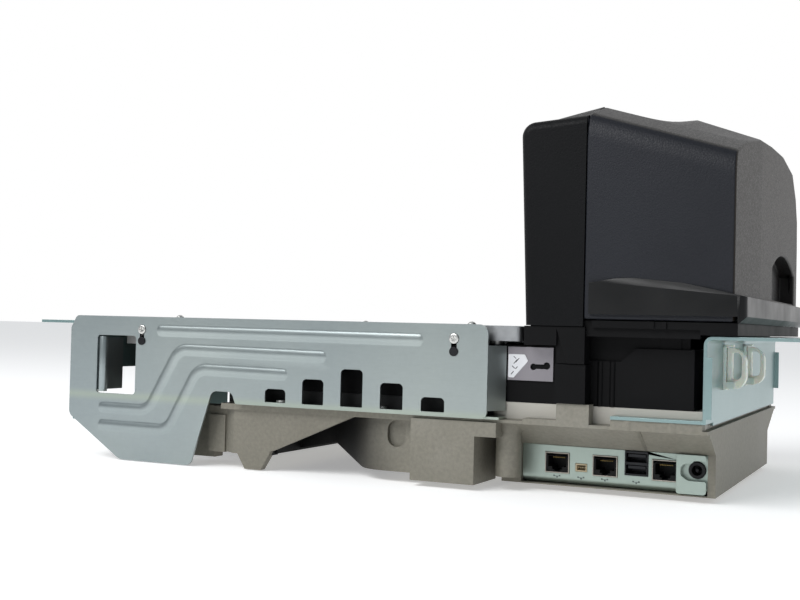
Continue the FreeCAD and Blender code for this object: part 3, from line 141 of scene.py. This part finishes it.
class Paint:
    """A material that is built up node by node, all of it in the piece's own coordinates."""

    def __init__(self, name, rough, metal=0.0):
        self.material = bpy.data.materials.new(name)
        self.material.use_nodes = True
        self.tree = self.material.node_tree
        self.shader = self.tree.nodes["Principled BSDF"]
        self.shader.inputs["Roughness"].default_value = rough
        self.shader.inputs["Metallic"].default_value = metal
        self.place = self.tree.nodes.new("ShaderNodeTexCoord").outputs["Object"]
        self.height = None

    def stretched(self, scale):
        node = self.tree.nodes.new("ShaderNodeMapping")
        node.inputs["Scale"].default_value = scale
        self.tree.links.new(self.place, node.inputs["Vector"])
        return node.outputs[0]

    def noise(self, scale, detail=3.0, roughness=0.5, stretch=None):
        node = self.tree.nodes.new("ShaderNodeTexNoise")
        node.inputs["Scale"].default_value = scale
        node.inputs["Detail"].default_value = detail
        node.inputs["Roughness"].default_value = roughness
        vector = self.stretched(stretch) if stretch else self.place
        self.tree.links.new(vector, node.inputs["Vector"])
        return node.outputs["Fac"]

    def cells(self, scale, feature="F1"):
        node = self.tree.nodes.new("ShaderNodeTexVoronoi")
        node.feature = feature
        node.inputs["Scale"].default_value = scale
        self.tree.links.new(self.place, node.inputs["Vector"])
        return node.outputs["Distance"]

    def band(self, axis, low, high, soft=0.0005):
        """1 between two places along an axis of the piece, 0 elsewhere, with soft ends."""
        parts = self.tree.nodes.new("ShaderNodeSeparateXYZ")
        self.tree.links.new(self.place, parts.inputs[0])
        ends = []
        for edge, rising in ((low, 1), (high, 0)):
            node = self.tree.nodes.new("ShaderNodeMapRange")
            node.interpolation_type = "SMOOTHSTEP"
            node.inputs["From Min"].default_value = edge - soft
            node.inputs["From Max"].default_value = edge + soft
            node.inputs["To Min"].default_value = 1 - rising
            node.inputs["To Max"].default_value = rising
            self.tree.links.new(parts.outputs[axis], node.inputs["Value"])
            ends.append(node.outputs[0])
        return self.times(*ends)

    def times(self, first, second):
        node = self.tree.nodes.new("ShaderNodeMath")
        node.operation = "MULTIPLY"
        for socket, value in ((0, first), (1, second)):
            if isinstance(value, (int, float)):
                node.inputs[socket].default_value = value
            else:
                self.tree.links.new(value, node.inputs[socket])
        return node.outputs[0]

    def ramp(self, value, *stops):
        node = self.tree.nodes.new("ShaderNodeValToRGB")
        marks = node.color_ramp.elements
        while len(marks) < len(stops):
            marks.new(0.5)
        for mark, (position, tone) in zip(marks, stops):
            mark.position = position
            mark.color = (*tone, 1) if hasattr(tone, "__len__") else (tone, tone, tone, 1)
        self.tree.links.new(value, node.inputs[0])
        return node.outputs[0]

    def blend(self, share, low, high, how="MIX"):
        node = self.tree.nodes.new("ShaderNodeMix")
        node.data_type = "RGBA"
        node.blend_type = how
        for socket, value in ((0, share), (6, low), (7, high)):
            if isinstance(value, (int, float)):
                node.inputs[socket].default_value = value
            elif isinstance(value, tuple):
                node.inputs[socket].default_value = (*value, 1)
            else:
                self.tree.links.new(value, node.inputs[socket])
        return node.outputs[2]

    def colour(self, source):
        if isinstance(source, tuple):
            self.shader.inputs["Base Color"].default_value = (*source, 1)
        else:
            self.tree.links.new(source, self.shader.inputs["Base Color"])

    def mottled(self, scale, low, high):
        """Soft clouds between two tones."""
        self.colour(self.ramp(self.noise(scale), (0.3, low), (0.7, high)))

    def rough(self, source):
        self.tree.links.new(source, self.shader.inputs["Roughness"])

    def bump(self, source, depth, strength=1.0):
        node = self.tree.nodes.new("ShaderNodeBump")
        node.inputs["Distance"].default_value = depth
        node.inputs["Strength"].default_value = strength
        self.tree.links.new(source, node.inputs["Height"])
        if self.height is not None:
            self.tree.links.new(self.height, node.inputs["Normal"])
        self.height = node.outputs[0]
        self.tree.links.new(self.height, self.shader.inputs["Normal"])


def finish(name, paint, edge=0.0, steps=2, sharp=32, merge=True):
    """Give a CAD piece its paint and break its hard edges with a small round."""
    piece = nodes[name]
    piece.data.materials.clear()
    piece.data.materials.append(paint.material)
    bpy.ops.object.select_all(action="DESELECT")
    piece.select_set(True)
    bpy.context.view_layer.objects.active = piece
    weld = piece.modifiers.new("weld", "WELD")
    weld.merge_threshold = 0.00001
    if edge:
        if merge:
            planar = piece.modifiers.new("planar", "DECIMATE")
            planar.decimate_type = "DISSOLVE"
            planar.angle_limit = radians(0.6)
        round_off = piece.modifiers.new("round", "BEVEL")
        round_off.width = edge
        round_off.segments = steps
        round_off.limit_method = "ANGLE"
        round_off.angle_limit = radians(sharp)
    bpy.ops.object.shade_smooth_by_angle(angle=radians(34))
    even = piece.modifiers.new("even", "WEIGHTED_NORMAL")
    even.keep_sharp = True
    even.weight = 90
    piece.select_set(False)
    return piece


def zinc(name, tint_low, tint_high, rough_low=0.29, rough_high=0.34, bend=None):
    """Zinc plate: broad drifts of tint, faint spangle and rolling grain; bends go greenish."""
    paint = Paint(name, rough_low, 0.9)
    drift = paint.noise(5.0, 3.0, 0.55)
    tone = paint.ramp(drift, (0.34, tint_low), (0.66, tint_high))
    spangle = paint.ramp(paint.noise(260.0, 2.0, 0.6), (0.35, 0.47), (0.65, 0.53))
    tone = paint.blend(0.20, tone, spangle, "OVERLAY")
    grain = paint.noise(120.0, 4.0, 0.6, (1.0, 1.0, 7.0))
    tone = paint.blend(0.05, tone, paint.ramp(grain, (0.3, 0.3), (0.7, 0.7)), "OVERLAY")
    if bend:
        low, high, tint = bend
        tone = paint.blend(paint.times(paint.band("Z", low, high, 0.003), 0.6), tone, tint)
    paint.colour(tone)
    paint.rough(paint.ramp(grain, (0.2, rough_low), (0.8, rough_high)))
    paint.bump(paint.noise(1400.0, 2.0), 0.00001, 0.2)
    return paint


plated = zinc("zinc_plate", (0.305, 0.350, 0.360), (0.385, 0.430, 0.420),
              bend=(0.043, 0.047, (0.42, 0.48, 0.38)))
plated_blue = zinc("zinc_plate_blue", (0.22, 0.325, 0.325), (0.30, 0.41, 0.41))
for name in ("near_side_panel", "far_side_panel"):
    finish(name, plated, 0.4 * MM)
for name in ("left_hanger_bracket", "rear_hanger_bracket"):
    finish(name, plated_blue, 0.3 * MM)
plated_green = zinc("zinc_plate_pale", (0.38, 0.46, 0.42), (0.45, 0.53, 0.48), 0.36, 0.52)
for name in ("connector_plate", "power_plug_guard"):
    finish(name, plated_green, 0.15 * MM)

# ------------------------------------------------------------------ screws
# The flange screws, levelling screws, board standoffs and the panels' domed bumpers are bright
# zinc-plated steel. The screws through the panels are black oxide steel.
screw_metal = zinc("screw_zinc", (0.60, 0.60, 0.58), (0.68, 0.68, 0.66), 0.22, 0.34)
for name in ("panel_flange_screws", "levelling_screw_1", "levelling_screw_2",
             "levelling_screw_3", "levelling_screw_4", "board_standoffs"):
    finish(name, screw_metal, 0.2 * MM)

finish("panel_bumpers", screw_metal)
black_oxide = zinc("black_oxide", (0.018, 0.018, 0.020), (0.030, 0.030, 0.032), 0.34, 0.46)
finish("side_panel_screws", black_oxide, 0.2 * MM)

# ------------------------------------------------------------------ die casting
# The chassis is an unpainted aluminium-zinc casting: warm grey, fine sandy skin, slight staining.
cast = Paint("die_cast_alloy", 0.5, 0.35)
stain = cast.noise(9.0, 4.0, 0.55)
speck = cast.noise(420.0, 3.0, 0.6)
cast_tone = cast.ramp(stain, (0.30, (0.180, 0.168, 0.136)), (0.55, (0.225, 0.213, 0.176)),
                      (0.75, (0.27, 0.258, 0.222)))
cast_tone = cast.blend(0.25, cast_tone, cast.ramp(speck, (0.3, 0.3), (0.7, 0.7)), "OVERLAY")
# the upstand beside the tower is painted lighter, a painted highlight; the wall behind the panel's
# slots is painted near black, a painted shade, and the scoop beside the foot is painted near black
painted_highlight_upstand = cast.times(cast.band("Z", 0.0442, 0.057), cast.band("Y", -0.1312, 0.1312))
painted_highlight_upstand = cast.times(painted_highlight_upstand, cast.band("X", 0.086, 0.30, 0.001))
painted_shade_behind_slots = cast.times(cast.band("Z", 0.0442, 0.057), cast.band("X", -0.13, 0.084, 0.001))
cast_tone = cast.blend(cast.times(painted_highlight_upstand, 0.8), cast_tone, (0.56, 0.54, 0.49))
scoop = cast.times(cast.band("X", -0.10, 0.004, 0.026), cast.band("Y", -0.1342, 0.1342, 0.0001))
scoop = cast.times(scoop, cast.band("X", -0.0744, 0.20, 0.0002))
scoop = cast.times(scoop, cast.band("Z", -0.01, 0.0435, 0.0006))
# painted shade: the wall behind the panel's slots goes near black
cast_tone = cast.blend(painted_shade_behind_slots, cast_tone, (0.012, 0.012, 0.013))
cast_tone = cast.blend(scoop, cast_tone, (0.006, 0.006, 0.006))
cast.colour(cast_tone)
cast.rough(cast.ramp(stain, (0.3, 0.44), (0.7, 0.60)))
cast.bump(speck, 0.00012, 0.5)
finish("die_cast_chassis", cast, 0.5 * MM, merge=False)


# ------------------------------------------------------------------ black mouldings
# Tray, tower frame, optics housings, cameras and speaker are matt black glass-filled plastic,
# moulded with a fine spark-eroded grain.
def plastic(name, tone, rough, grain_scale, grain_depth, strength=0.5):
    paint = Paint(name, rough)
    paint.shader.inputs["Specular IOR Level"].default_value = 0.12
    cloud = paint.noise(14.0, 3.0)
    lighter = tuple(min(1.0, c * 1.25 + 0.002) for c in tone)
    paint.colour(paint.ramp(cloud, (0.3, tone), (0.7, lighter)))
    paint.rough(paint.ramp(paint.noise(40.0, 4.0), (0.25, rough - 0.05), (0.75, rough + 0.07)))
    paint.bump(paint.noise(grain_scale, 2.0, 0.6), grain_depth, strength)
    return paint


matt_black = plastic("matt_black_moulding", (0.0022, 0.0022, 0.0026), 0.50, 1500.0, 0.00005)
finish("optics_tray", matt_black, 0.3 * MM, merge=False)
for name in ("tower_frame", "horizontal_optics_housing", "tower_optics_carrier",
             "horizontal_camera", "tower_camera", "speaker"):
    finish(name, matt_black, 0.4 * MM)

# ------------------------------------------------------------------ tower rear cover
# One deep moulding with a pebble grain. Its side is blue-black and its back browner. The roof is
# painted lighter, painted light from above, and the far half of the back is painted lighter than the
# near half, also painted light.
tower_skin = Paint("tower_grain", 0.42)
tower_skin.shader.inputs["Specular IOR Level"].default_value = 0.26
pebble = tower_skin.cells(900.0)
cloud = tower_skin.noise(11.0, 3.0)
side_tone = tower_skin.ramp(cloud, (0.3, (0.0085, 0.0095, 0.0135)), (0.7, (0.0125, 0.0140, 0.0190)))
back_tone = tower_skin.ramp(cloud, (0.3, (0.012, 0.0088, 0.0062)), (0.7, (0.017, 0.0130, 0.0098)))
# painted light: the far half of the back is lighter than the near half
painted_light_far_back_tone = tower_skin.ramp(cloud, (0.3, (0.026, 0.022, 0.0185)), (0.7, (0.034, 0.029, 0.025)))
back_tone = tower_skin.blend(tower_skin.band("Y", -0.047, 0.20, 0.0004), back_tone, painted_light_far_back_tone)
# painted light: the roof is lighter than the side, as lit from above
painted_light_roof_tone = tower_skin.ramp(cloud, (0.3, (0.017, 0.0155, 0.0150)), (0.7, (0.024, 0.0220, 0.0212)))
tone = tower_skin.blend(tower_skin.band("Y", -0.1385, 0.20, 0.0006), side_tone, painted_light_roof_tone)
tower_skin.colour(tower_skin.blend(tower_skin.band("X", 0.2292, 0.30, 0.0004), tone, back_tone))
tower_skin.rough(tower_skin.ramp(pebble, (0.1, 0.36), (0.6, 0.52)))
tower_skin.bump(pebble, 0.00016, 0.55)
tower_skin.bump(tower_skin.noise(2200.0, 2.0), 0.00005, 0.4)
finish("tower_rear_cover", tower_skin, 1.6 * MM, 3, 48)

# ------------------------------------------------------------------ tower bezel
# The front moulding round the reading window, blacker than the rear cover, with the same pebble
# grain.
front_skin = Paint("bezel_grain", 0.45)
front_skin.shader.inputs["Specular IOR Level"].default_value = 0.12
front_pebble = front_skin.cells(900.0)
front_skin.mottled(12.0, (0.0028, 0.0030, 0.0036), (0.0042, 0.0045, 0.0052))
front_skin.rough(front_skin.ramp(front_pebble, (0.1, 0.38), (0.6, 0.55)))
front_skin.bump(front_pebble, 0.00014, 0.55)
finish("tower_front_bezel", front_skin, 0.5 * MM, 2, 48)

# ------------------------------------------------------------------ apron and buttons
# The collar with the lip round the tower's foot and the two push buttons are satin black, smoother
# than the covers.
lip_skin = plastic("lip_satin", (0.0030, 0.0032, 0.0034), 0.34, 1300.0, 0.00006)
lip_skin.shader.inputs["Specular IOR Level"].default_value = 0.3
for name in ("tower_apron", "volume_button", "scale_zero_button"):
    finish(name, lip_skin, 0.4 * MM, 3)

# ------------------------------------------------------------------ platter
# The platter and its lift lever are stainless sheet, brushed along the length, with folded rims.
# The platter lies loose on the levelling screws.
brushed = Paint("brushed_stainless", 0.3, 1.0)
lines = brushed.noise(90.0, 4.0, 0.6, (1.0, 40.0, 1.0))
brushed.colour(brushed.ramp(lines, (0.3, (0.30, 0.31, 0.32)), (0.7, (0.42, 0.43, 0.44))))
brushed.rough(brushed.ramp(lines, (0.3, 0.34), (0.7, 0.46)))
brushed.bump(lines, 0.00003, 0.4)
for name in ("platter", "platter_lift_lever"):
    finish(name, brushed, 0.4 * MM)

# ------------------------------------------------------------------ glass and mirrors
# The platter's window and the one below it are clear glass with faint wipe marks, the tower's is
# dark red, and the fold mirrors are front-silvered.
def glazed(name, tone, clear, smear_scale):
    paint = Paint(name, 0.04)
    smear = paint.noise(smear_scale, 4.0, 0.6, (1.0, 2.5, 1.0))
    paint.colour(paint.ramp(smear, (0.3, tone), (0.7, tuple(min(1.0, c * 1.06) for c in tone))))
    paint.rough(paint.ramp(smear, (0.35, 0.02), (0.7, 0.10)))
    paint.bump(paint.noise(60.0, 2.0), 0.00001, 0.2)
    paint.shader.inputs["Transmission Weight"].default_value = clear
    return paint


clear_pane = glazed("clear_glass", (0.83, 0.89, 0.88), 1.0, 22.0)
for name in ("platter_glass", "lower_window_glass"):
    finish(name, clear_pane, 0.2 * MM)
finish("tower_window_glass", glazed("red_glass", (0.05, 0.010, 0.010), 0.6, 18.0), 0.2 * MM)
silver = Paint("front_mirror", 0.03, 1.0)
dust = silver.noise(140.0, 4.0, 0.6)
silver.colour(silver.ramp(dust, (0.3, (0.86, 0.87, 0.89)), (0.7, (0.92, 0.92, 0.94))))
silver.rough(silver.ramp(dust, (0.4, 0.02), (0.75, 0.09)))
silver.bump(dust, 0.000005, 0.2)
for name in ("horizontal_mirror_1", "horizontal_mirror_2", "tower_fold_mirror", "tower_upper_mirror"):
    finish(name, silver, 0.2 * MM)

# ------------------------------------------------------------------ circuit boards
# Green solder resist over copper tracks, which show as slightly raised lighter lines, with tinned
# pads dotted between them.
resist = Paint("board_green", 0.36)
tracks = resist.ramp(resist.cells(260.0, "DISTANCE_TO_EDGE"), (0.05, 1.0), (0.09, 0.0))
green = resist.ramp(resist.noise(40.0), (0.3, (0.010, 0.075, 0.030)), (0.7, (0.018, 0.105, 0.045)))
green = resist.blend(tracks, green, (0.045, 0.21, 0.085))
pads = resist.ramp(resist.cells(420.0), (0.10, 1.0), (0.13, 0.0))
resist.colour(resist.blend(pads, green, (0.62, 0.60, 0.55)))
resist.rough(resist.ramp(resist.noise(90.0), (0.3, 0.28), (0.7, 0.44)))
resist.bump(tracks, 0.00004, 0.6)
for name in ("main_board", "connector_board", "horizontal_led_bars", "tower_led_bars", "button_switch_board"):
    finish(name, resist, 0.1 * MM)

# ------------------------------------------------------------------ stacked ports and cable clips
# The two stacked ports are a dark nickel shell. The clips are milky nylon that lets some light in.
dark_shell = Paint("dark_nickel", 0.34, 0.85)
dark_shell.mottled(80.0, (0.020, 0.021, 0.023), (0.035, 0.036, 0.038))
finish("dual_usb_socket", dark_shell, 0.1 * MM)
nylon = Paint("clip_nylon", 0.28)
nylon.mottled(35.0, (0.78, 0.77, 0.66), (0.88, 0.87, 0.78))
nylon.rough(nylon.ramp(nylon.noise(160.0), (0.3, 0.22), (0.7, 0.36)))
nylon.bump(nylon.noise(420.0), 0.00003, 0.4)
nylon.shader.inputs["Subsurface Weight"].default_value = 0.3
for name in ("cable_clip_base_1", "cable_clip_base_2", "cable_clip_loop_1", "cable_clip_loop_2"):
    finish(name, nylon, 0.4 * MM)

# ------------------------------------------------------------------ lock plate and its label
# A dull stainless plate behind a two-lobed key slot, and a white film label with a cut corner that
# carries a few plain marks.
dull_plate = Paint("dull_stainless", 0.38, 0.85)
dull_drift = dull_plate.noise(20.0, 2.0, 0.5, (1.0, 1.0, 0.4))
dull_plate.colour(dull_plate.ramp(dull_drift, (0.3, (0.20, 0.185, 0.205)), (0.7, (0.33, 0.315, 0.335))))
dull_plate.rough(dull_plate.ramp(dull_plate.noise(300.0), (0.3, 0.32), (0.7, 0.46)))
dull_plate.bump(dull_plate.noise(500.0, 3.0, 0.6, (1.0, 1.0, 6.0)), 0.00002, 0.4)
finish("lock_plate", dull_plate, 0.1 * MM)
film = Paint("label_film", 0.35)
film.mottled(60.0, (0.74, 0.75, 0.78), (0.82, 0.82, 0.84))
film.bump(film.noise(700.0), 0.00001, 0.4)
finish("service_label", film, 0.05 * MM)


def slab(name, low, high, turn_y=0.0):
    """A box between two corners, its place in its mesh; turn_y leans it about its own middle."""
    bpy.ops.object.select_all(action="DESELECT")
    middle = [(a + b) / 2 for a, b in zip(low, high)]
    bpy.ops.mesh.primitive_cube_add(size=1, location=middle, rotation=(0, turn_y, 0))
    piece = bpy.context.object
    piece.scale = [abs(b - a) for a, b in zip(low, high)]
    bpy.ops.object.transform_apply(location=True, rotation=True, scale=True)
    piece.name = name
    return piece


def joined(name, parts):
    bpy.ops.object.select_all(action="DESELECT")
    for part in parts:
        part.select_set(True)
    bpy.context.view_layer.objects.active = parts[0]
    bpy.ops.object.join()
    parts[0].name = name
    parts[0].data.name = name
    return parts[0]


def softened(piece, width, steps=2, angle=32):
    """Apply a small round to every hard edge and shade what is left smooth."""
    bpy.ops.object.select_all(action="DESELECT")
    piece.select_set(True)
    bpy.context.view_layer.objects.active = piece
    rounding = piece.modifiers.new("rounding", "BEVEL")
    rounding.width = width
    rounding.segments = steps
    rounding.limit_method = "ANGLE"
    rounding.angle_limit = radians(30)
    bpy.ops.object.modifier_apply(modifier="rounding")
    bpy.ops.object.shade_smooth_by_angle(angle=radians(angle))
    piece.select_set(False)


def dress(piece, paint, body):
    piece.data.materials.clear()
    piece.data.materials.append(paint.material)
    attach(piece, body)


label_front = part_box("service_label")[0][1]
ink = Paint("label_ink", 0.5)
ink.mottled(400.0, (0.05, 0.05, 0.06), (0.09, 0.09, 0.10))
# each stroke's middle x and z, its length and thickness in millimetres, and its lean in degrees
STROKES = ((97.5, 79.5, 3.6, 0.45, -50), (98.7, 80.3, 3.6, 0.45, -50), (96.2, 76.0, 2.4, 0.5, 40),
           (98.2, 75.7, 2.0, 0.5, -50), (95.5, 72.5, 2.6, 0.5, -50), (97.0, 82.0, 2.2, 0.4, 40))
INK_THICK = 0.05 * MM
strokes = []
for x, z, long, thick, lean in STROKES:
    strokes.append(slab("stroke", ((x - long / 2) * MM, label_front - INK_THICK, (z - thick / 2) * MM),
                        ((x + long / 2) * MM, label_front + INK_THICK, (z + thick / 2) * MM), radians(lean)))
label_marks = joined("label_marks", strokes)
dress(label_marks, ink, "base")

# ------------------------------------------------------------------ network sockets
# Each socket is a folded nickel-plated shell round a black insert with the stepped plug way and
# eight sprung gilt contacts. All three are alike.
nickel_shell = Paint("nickel_shell", 0.32, 1.0)
nickel_shell.mottled(90.0, (0.46, 0.42, 0.37), (0.56, 0.52, 0.46))
nickel_shell.rough(nickel_shell.ramp(nickel_shell.noise(300.0), (0.3, 0.26), (0.7, 0.42)))
insert_black = Paint("insert_black", 0.45)
insert_black.shader.inputs["Specular IOR Level"].default_value = 0.2
insert_black.mottled(200.0, (0.004, 0.004, 0.004), (0.007, 0.007, 0.007))
insert_black.bump(insert_black.noise(1500.0), 0.00002, 0.4)
gilt = Paint("gilt_contact", 0.3, 1.0)
gilt.mottled(300.0, (0.62, 0.44, 0.16), (0.72, 0.52, 0.20))


def pick_front(piece, axis, value):
    """Edit mode with only the faces at one end of an axis selected."""
    bpy.ops.object.select_all(action="DESELECT")
    piece.select_set(True)
    bpy.context.view_layer.objects.active = piece
    bpy.ops.object.mode_set(mode="EDIT")
    bpy.ops.mesh.select_mode(type="FACE")
    bpy.ops.mesh.select_all(action="DESELECT")
    mesh = bmesh.from_edit_mesh(piece.data)
    for face in mesh.faces:
        face.select_set(all(abs(corner.co[axis] - value) < 1e-6 for corner in face.verts))
    bmesh.update_edit_mesh(piece.data)


def bored(piece, cutters):
    for cutter in cutters:
        bpy.ops.object.select_all(action="DESELECT")
        bpy.context.view_layer.objects.active = piece
        piece.select_set(True)
        hole = piece.modifiers.new("hole", "BOOLEAN")
        hole.object = cutter
        hole.solver = "EXACT"
        bpy.ops.object.modifier_apply(modifier="hole")
        bpy.data.objects.remove(cutter)


def copied(piece, name, move):
    twin = piece.copy()
    twin.data = piece.data.copy()
    twin.name = name
    twin.data.name = name
    twin.data.transform(Matrix.Translation(move))
    scene.collection.objects.link(twin)
    return twin


(jx, jy, jz), (kx, ky, kz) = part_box("network_jack_1")
shell = slab("socket_shell_1", (jx, jy, jz), (kx, ky, kz))
pick_front(shell, 1, jy)
bpy.ops.mesh.inset(thickness=0.5 * MM)
bpy.ops.mesh.extrude_region_move(TRANSFORM_OT_translate={"value": (0, 13 * MM, 0)})
bpy.ops.object.mode_set(mode="OBJECT")
softened(shell, 0.12 * MM)
insert = slab("socket_insert_1", (jx + 0.55 * MM, jy + 0.5 * MM, jz + 0.55 * MM),
              (kx - 0.55 * MM, jy + 12.9 * MM, kz - 1.9 * MM))
middle = (jx + kx) / 2
# the plug way narrows in steps for the plug's latch: half width, low and high edge
WAY_STEPS = ((5.9, 3.8, 10.4), (3.2, 2.0, 4.0), (1.8, 0.9, 2.2))
bored(insert, [slab("way", (middle - half * MM, jy - MM, jz + low * MM),
                    (middle + half * MM, jy + 12 * MM, jz + high * MM)) for half, low, high in WAY_STEPS])
softened(insert, 0.08 * MM, 1)
CONTACTS = 8
CONTACT_PITCH = 1.02 * MM
CONTACT_HALF = 0.2 * MM
wires = []
for k in range(CONTACTS):
    x = middle + (k - (CONTACTS - 1) / 2) * CONTACT_PITCH
    wires.append(slab("wire", (x - CONTACT_HALF, jy + 4 * MM, jz + 9.0 * MM),
                      (x + CONTACT_HALF, jy + 11 * MM, jz + 9.4 * MM)))
contacts = joined("socket_contacts_1", wires)
softened(contacts, 0.05 * MM, 1)
for k in (1, 2, 3):
    move = Vector(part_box(f"network_jack_{k}")[0]) - Vector((jx, jy, jz))
    for piece, paint, slot in ((shell, nickel_shell, "nickel"), (insert, insert_black, "connector_black"),
                               (contacts, gilt, "nickel")):
        one = piece if k == 1 else copied(piece, piece.name[:-1] + str(k), move)
        dress(one, paint, "base")
        if piece is shell:
            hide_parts(f"network_jack_{k}")

# ------------------------------------------------------------------ marks under the sockets
# A small plain mark is stamped under each socket: a short bar with three ticks. They carry no
# lettering.
MARK_X = (0.1188, 0.1342, 0.1492, 0.1686, 0.2020)
MARK_Z = 0.0084
MARK_HALF = 0.0022
TICK_HALF = 0.0005
plate_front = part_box("connector_plate")[0][1] - 0.00004
mark_back = plate_front + 0.0001
marks = []
for middle in MARK_X:
    marks.append(slab("mark", (middle - MARK_HALF, plate_front, MARK_Z),
                      (middle + MARK_HALF, mark_back, MARK_Z + 0.00032)))
    for dx, tall in ((-0.0019, 0.9), (0.0, -0.9), (0.0016, 0.9)):
        low, high = sorted((MARK_Z, MARK_Z + tall * MM))
        marks.append(slab("mark", (middle + dx - TICK_HALF, plate_front, low),
                          (middle + dx + TICK_HALF, mark_back, high)))
socket_marks = joined("socket_marks", marks)
mark_grey = Paint("stamped_grey", 0.6)
worn = mark_grey.noise(900.0)
mark_grey.colour(mark_grey.ramp(worn, (0.35, (0.05, 0.07, 0.07)), (0.65, (0.16, 0.19, 0.19))))
dress(socket_marks, mark_grey, "base")

# ------------------------------------------------------------------ hooked studs
# A round-headed stud with a crossed recess fills the wide end of each keyhole in the side panels.
bright_stud = zinc("stud_zinc", (0.50, 0.50, 0.48), (0.62, 0.62, 0.60), 0.24, 0.36)
STUD_X = (-0.177, 0.062)
STUD_Z = 0.0926
STUD_FACE = 0.1456
STUD_LONG = 2.4 * MM
CROSS_LONG = 1.5 * MM
CROSS_HALF = 0.3 * MM
stud_number = 0
for side in (-1, 1):
    for x in STUD_X:
        stud_number += 1
        face = side * STUD_FACE
        bpy.ops.object.select_all(action="DESELECT")
        bpy.ops.mesh.primitive_cylinder_add(vertices=40, radius=3.15 * MM, depth=STUD_LONG,
                                            location=(x, face - side * STUD_LONG / 2, STUD_Z),
                                            rotation=(pi / 2, 0, 0))
        stud = bpy.context.object
        stud.name = f"panel_stud_{stud_number}"
        bpy.ops.object.transform_apply(location=True, rotation=True, scale=True)
        pick_front(stud, 1, face)
        bpy.ops.mesh.inset(thickness=0.9 * MM)
        bpy.ops.transform.translate(value=(0, side * 0.25 * MM, 0))
        bpy.ops.object.mode_set(mode="OBJECT")
        bored(stud, [slab("cross", (x - half_x, face - 0.5 * MM, STUD_Z - half_z),
                          (x + half_x, face + 0.5 * MM, STUD_Z + half_z))
                     for half_x, half_z in ((CROSS_LONG, CROSS_HALF), (CROSS_HALF, CROSS_LONG))])
        softened(stud, 0.15 * MM)
        dress(stud, bright_stud, "base")

# ------------------------------------------------------------------ rolled window edge
# The flap is turned in from the panel round a generous bend that stands in the window's opening,
# a bright upright roll of the same plated sheet. Both side panels have one.
ROLL_R = 3.2 * MM
ROLL_X = -0.2165 + ROLL_R
ROLL_LOW_Z, ROLL_HIGH_Z = 0.0474, 0.0870
roll_number = 0
for side in (-1, 1):
    roll_number += 1
    roll_y = side * (-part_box("near_side_panel")[0][1] - MM - ROLL_R - 0.15 * MM)
    bpy.ops.object.select_all(action="DESELECT")
    bpy.ops.mesh.primitive_cylinder_add(vertices=48, radius=ROLL_R, depth=ROLL_HIGH_Z - ROLL_LOW_Z,
                                        end_fill_type="NOTHING",
                                        location=(ROLL_X, roll_y, (ROLL_LOW_Z + ROLL_HIGH_Z) / 2))
    roll = bpy.context.object
    roll.name = f"window_roll_{roll_number}"
    bpy.ops.object.transform_apply(location=True, rotation=True, scale=True)
    bpy.ops.object.mode_set(mode="EDIT")
    bpy.ops.mesh.select_all(action="SELECT")
    bpy.ops.mesh.bisect(plane_co=(ROLL_X, roll_y, 0), plane_no=(0.35, side, 0), clear_inner=True)
    bpy.ops.object.mode_set(mode="OBJECT")
    wall = roll.modifiers.new("wall", "SOLIDIFY")
    wall.thickness = 1.2 * MM
    wall.offset = -1
    bpy.ops.object.modifier_apply(modifier="wall")
    softened(roll, 0.2 * MM)
    dress(roll, plated, "base")

# ------------------------------------------------------------------ weighing parts
# The load cell is a milled aluminium bar, and the spider that spreads the platter's weight to four
# levelling screws is a raw casting. Both sit under the platter.
milled = Paint("milled_bar", 0.34, 1.0)
cutter_lines = milled.noise(240.0, 2.0, 0.5, (0.15, 1.0, 1.0))
milled.colour(milled.ramp(cutter_lines, (0.3, (0.52, 0.53, 0.54)), (0.7, (0.64, 0.65, 0.66))))
milled.rough(milled.ramp(cutter_lines, (0.3, 0.26), (0.7, 0.44)))
milled.bump(cutter_lines, 0.00003, 0.5)
finish("load_cell", milled, 0.3 * MM)
raw_cast = Paint("spider_cast", 0.5, 0.7)
sand = raw_cast.noise(520.0, 3.0, 0.6)
raw_cast.mottled(18.0, (0.36, 0.36, 0.35), (0.47, 0.47, 0.46))
raw_cast.rough(raw_cast.ramp(sand, (0.3, 0.42), (0.7, 0.60)))
raw_cast.bump(sand, 0.00012, 0.6)
finish("weigh_spider", raw_cast, 0.5 * MM)

# ------------------------------------------------------------------ small connectors and light bar
# A tan four-pin header, the black barrel of the power inlet and the frosted bar that shows the
# unit's state.
tan = Paint("header_tan", 0.45)
tan.mottled(260.0, (0.46, 0.38, 0.24), (0.58, 0.49, 0.33))
tan.bump(tan.noise(1300.0), 0.00002, 0.4)
finish("pin_header", tan, 0.1 * MM)
inlet = Paint("inlet_black", 0.42)
inlet.shader.inputs["Specular IOR Level"].default_value = 0.25
inlet.mottled(220.0, (0.006, 0.006, 0.007), (0.011, 0.011, 0.012))
inlet.bump(inlet.noise(1300.0), 0.00002, 0.4)
finish("power_jack", inlet, 0.2 * MM)
frosted = Paint("frosted_bar", 0.38)
frosted.mottled(120.0, (0.58, 0.64, 0.70), (0.68, 0.73, 0.78))
frosted.rough(frosted.ramp(frosted.noise(300.0), (0.3, 0.30), (0.7, 0.46)))
frosted.bump(frosted.noise(900.0), 0.00003, 0.4)
finish("status_light_bar", frosted, 0.2 * MM)
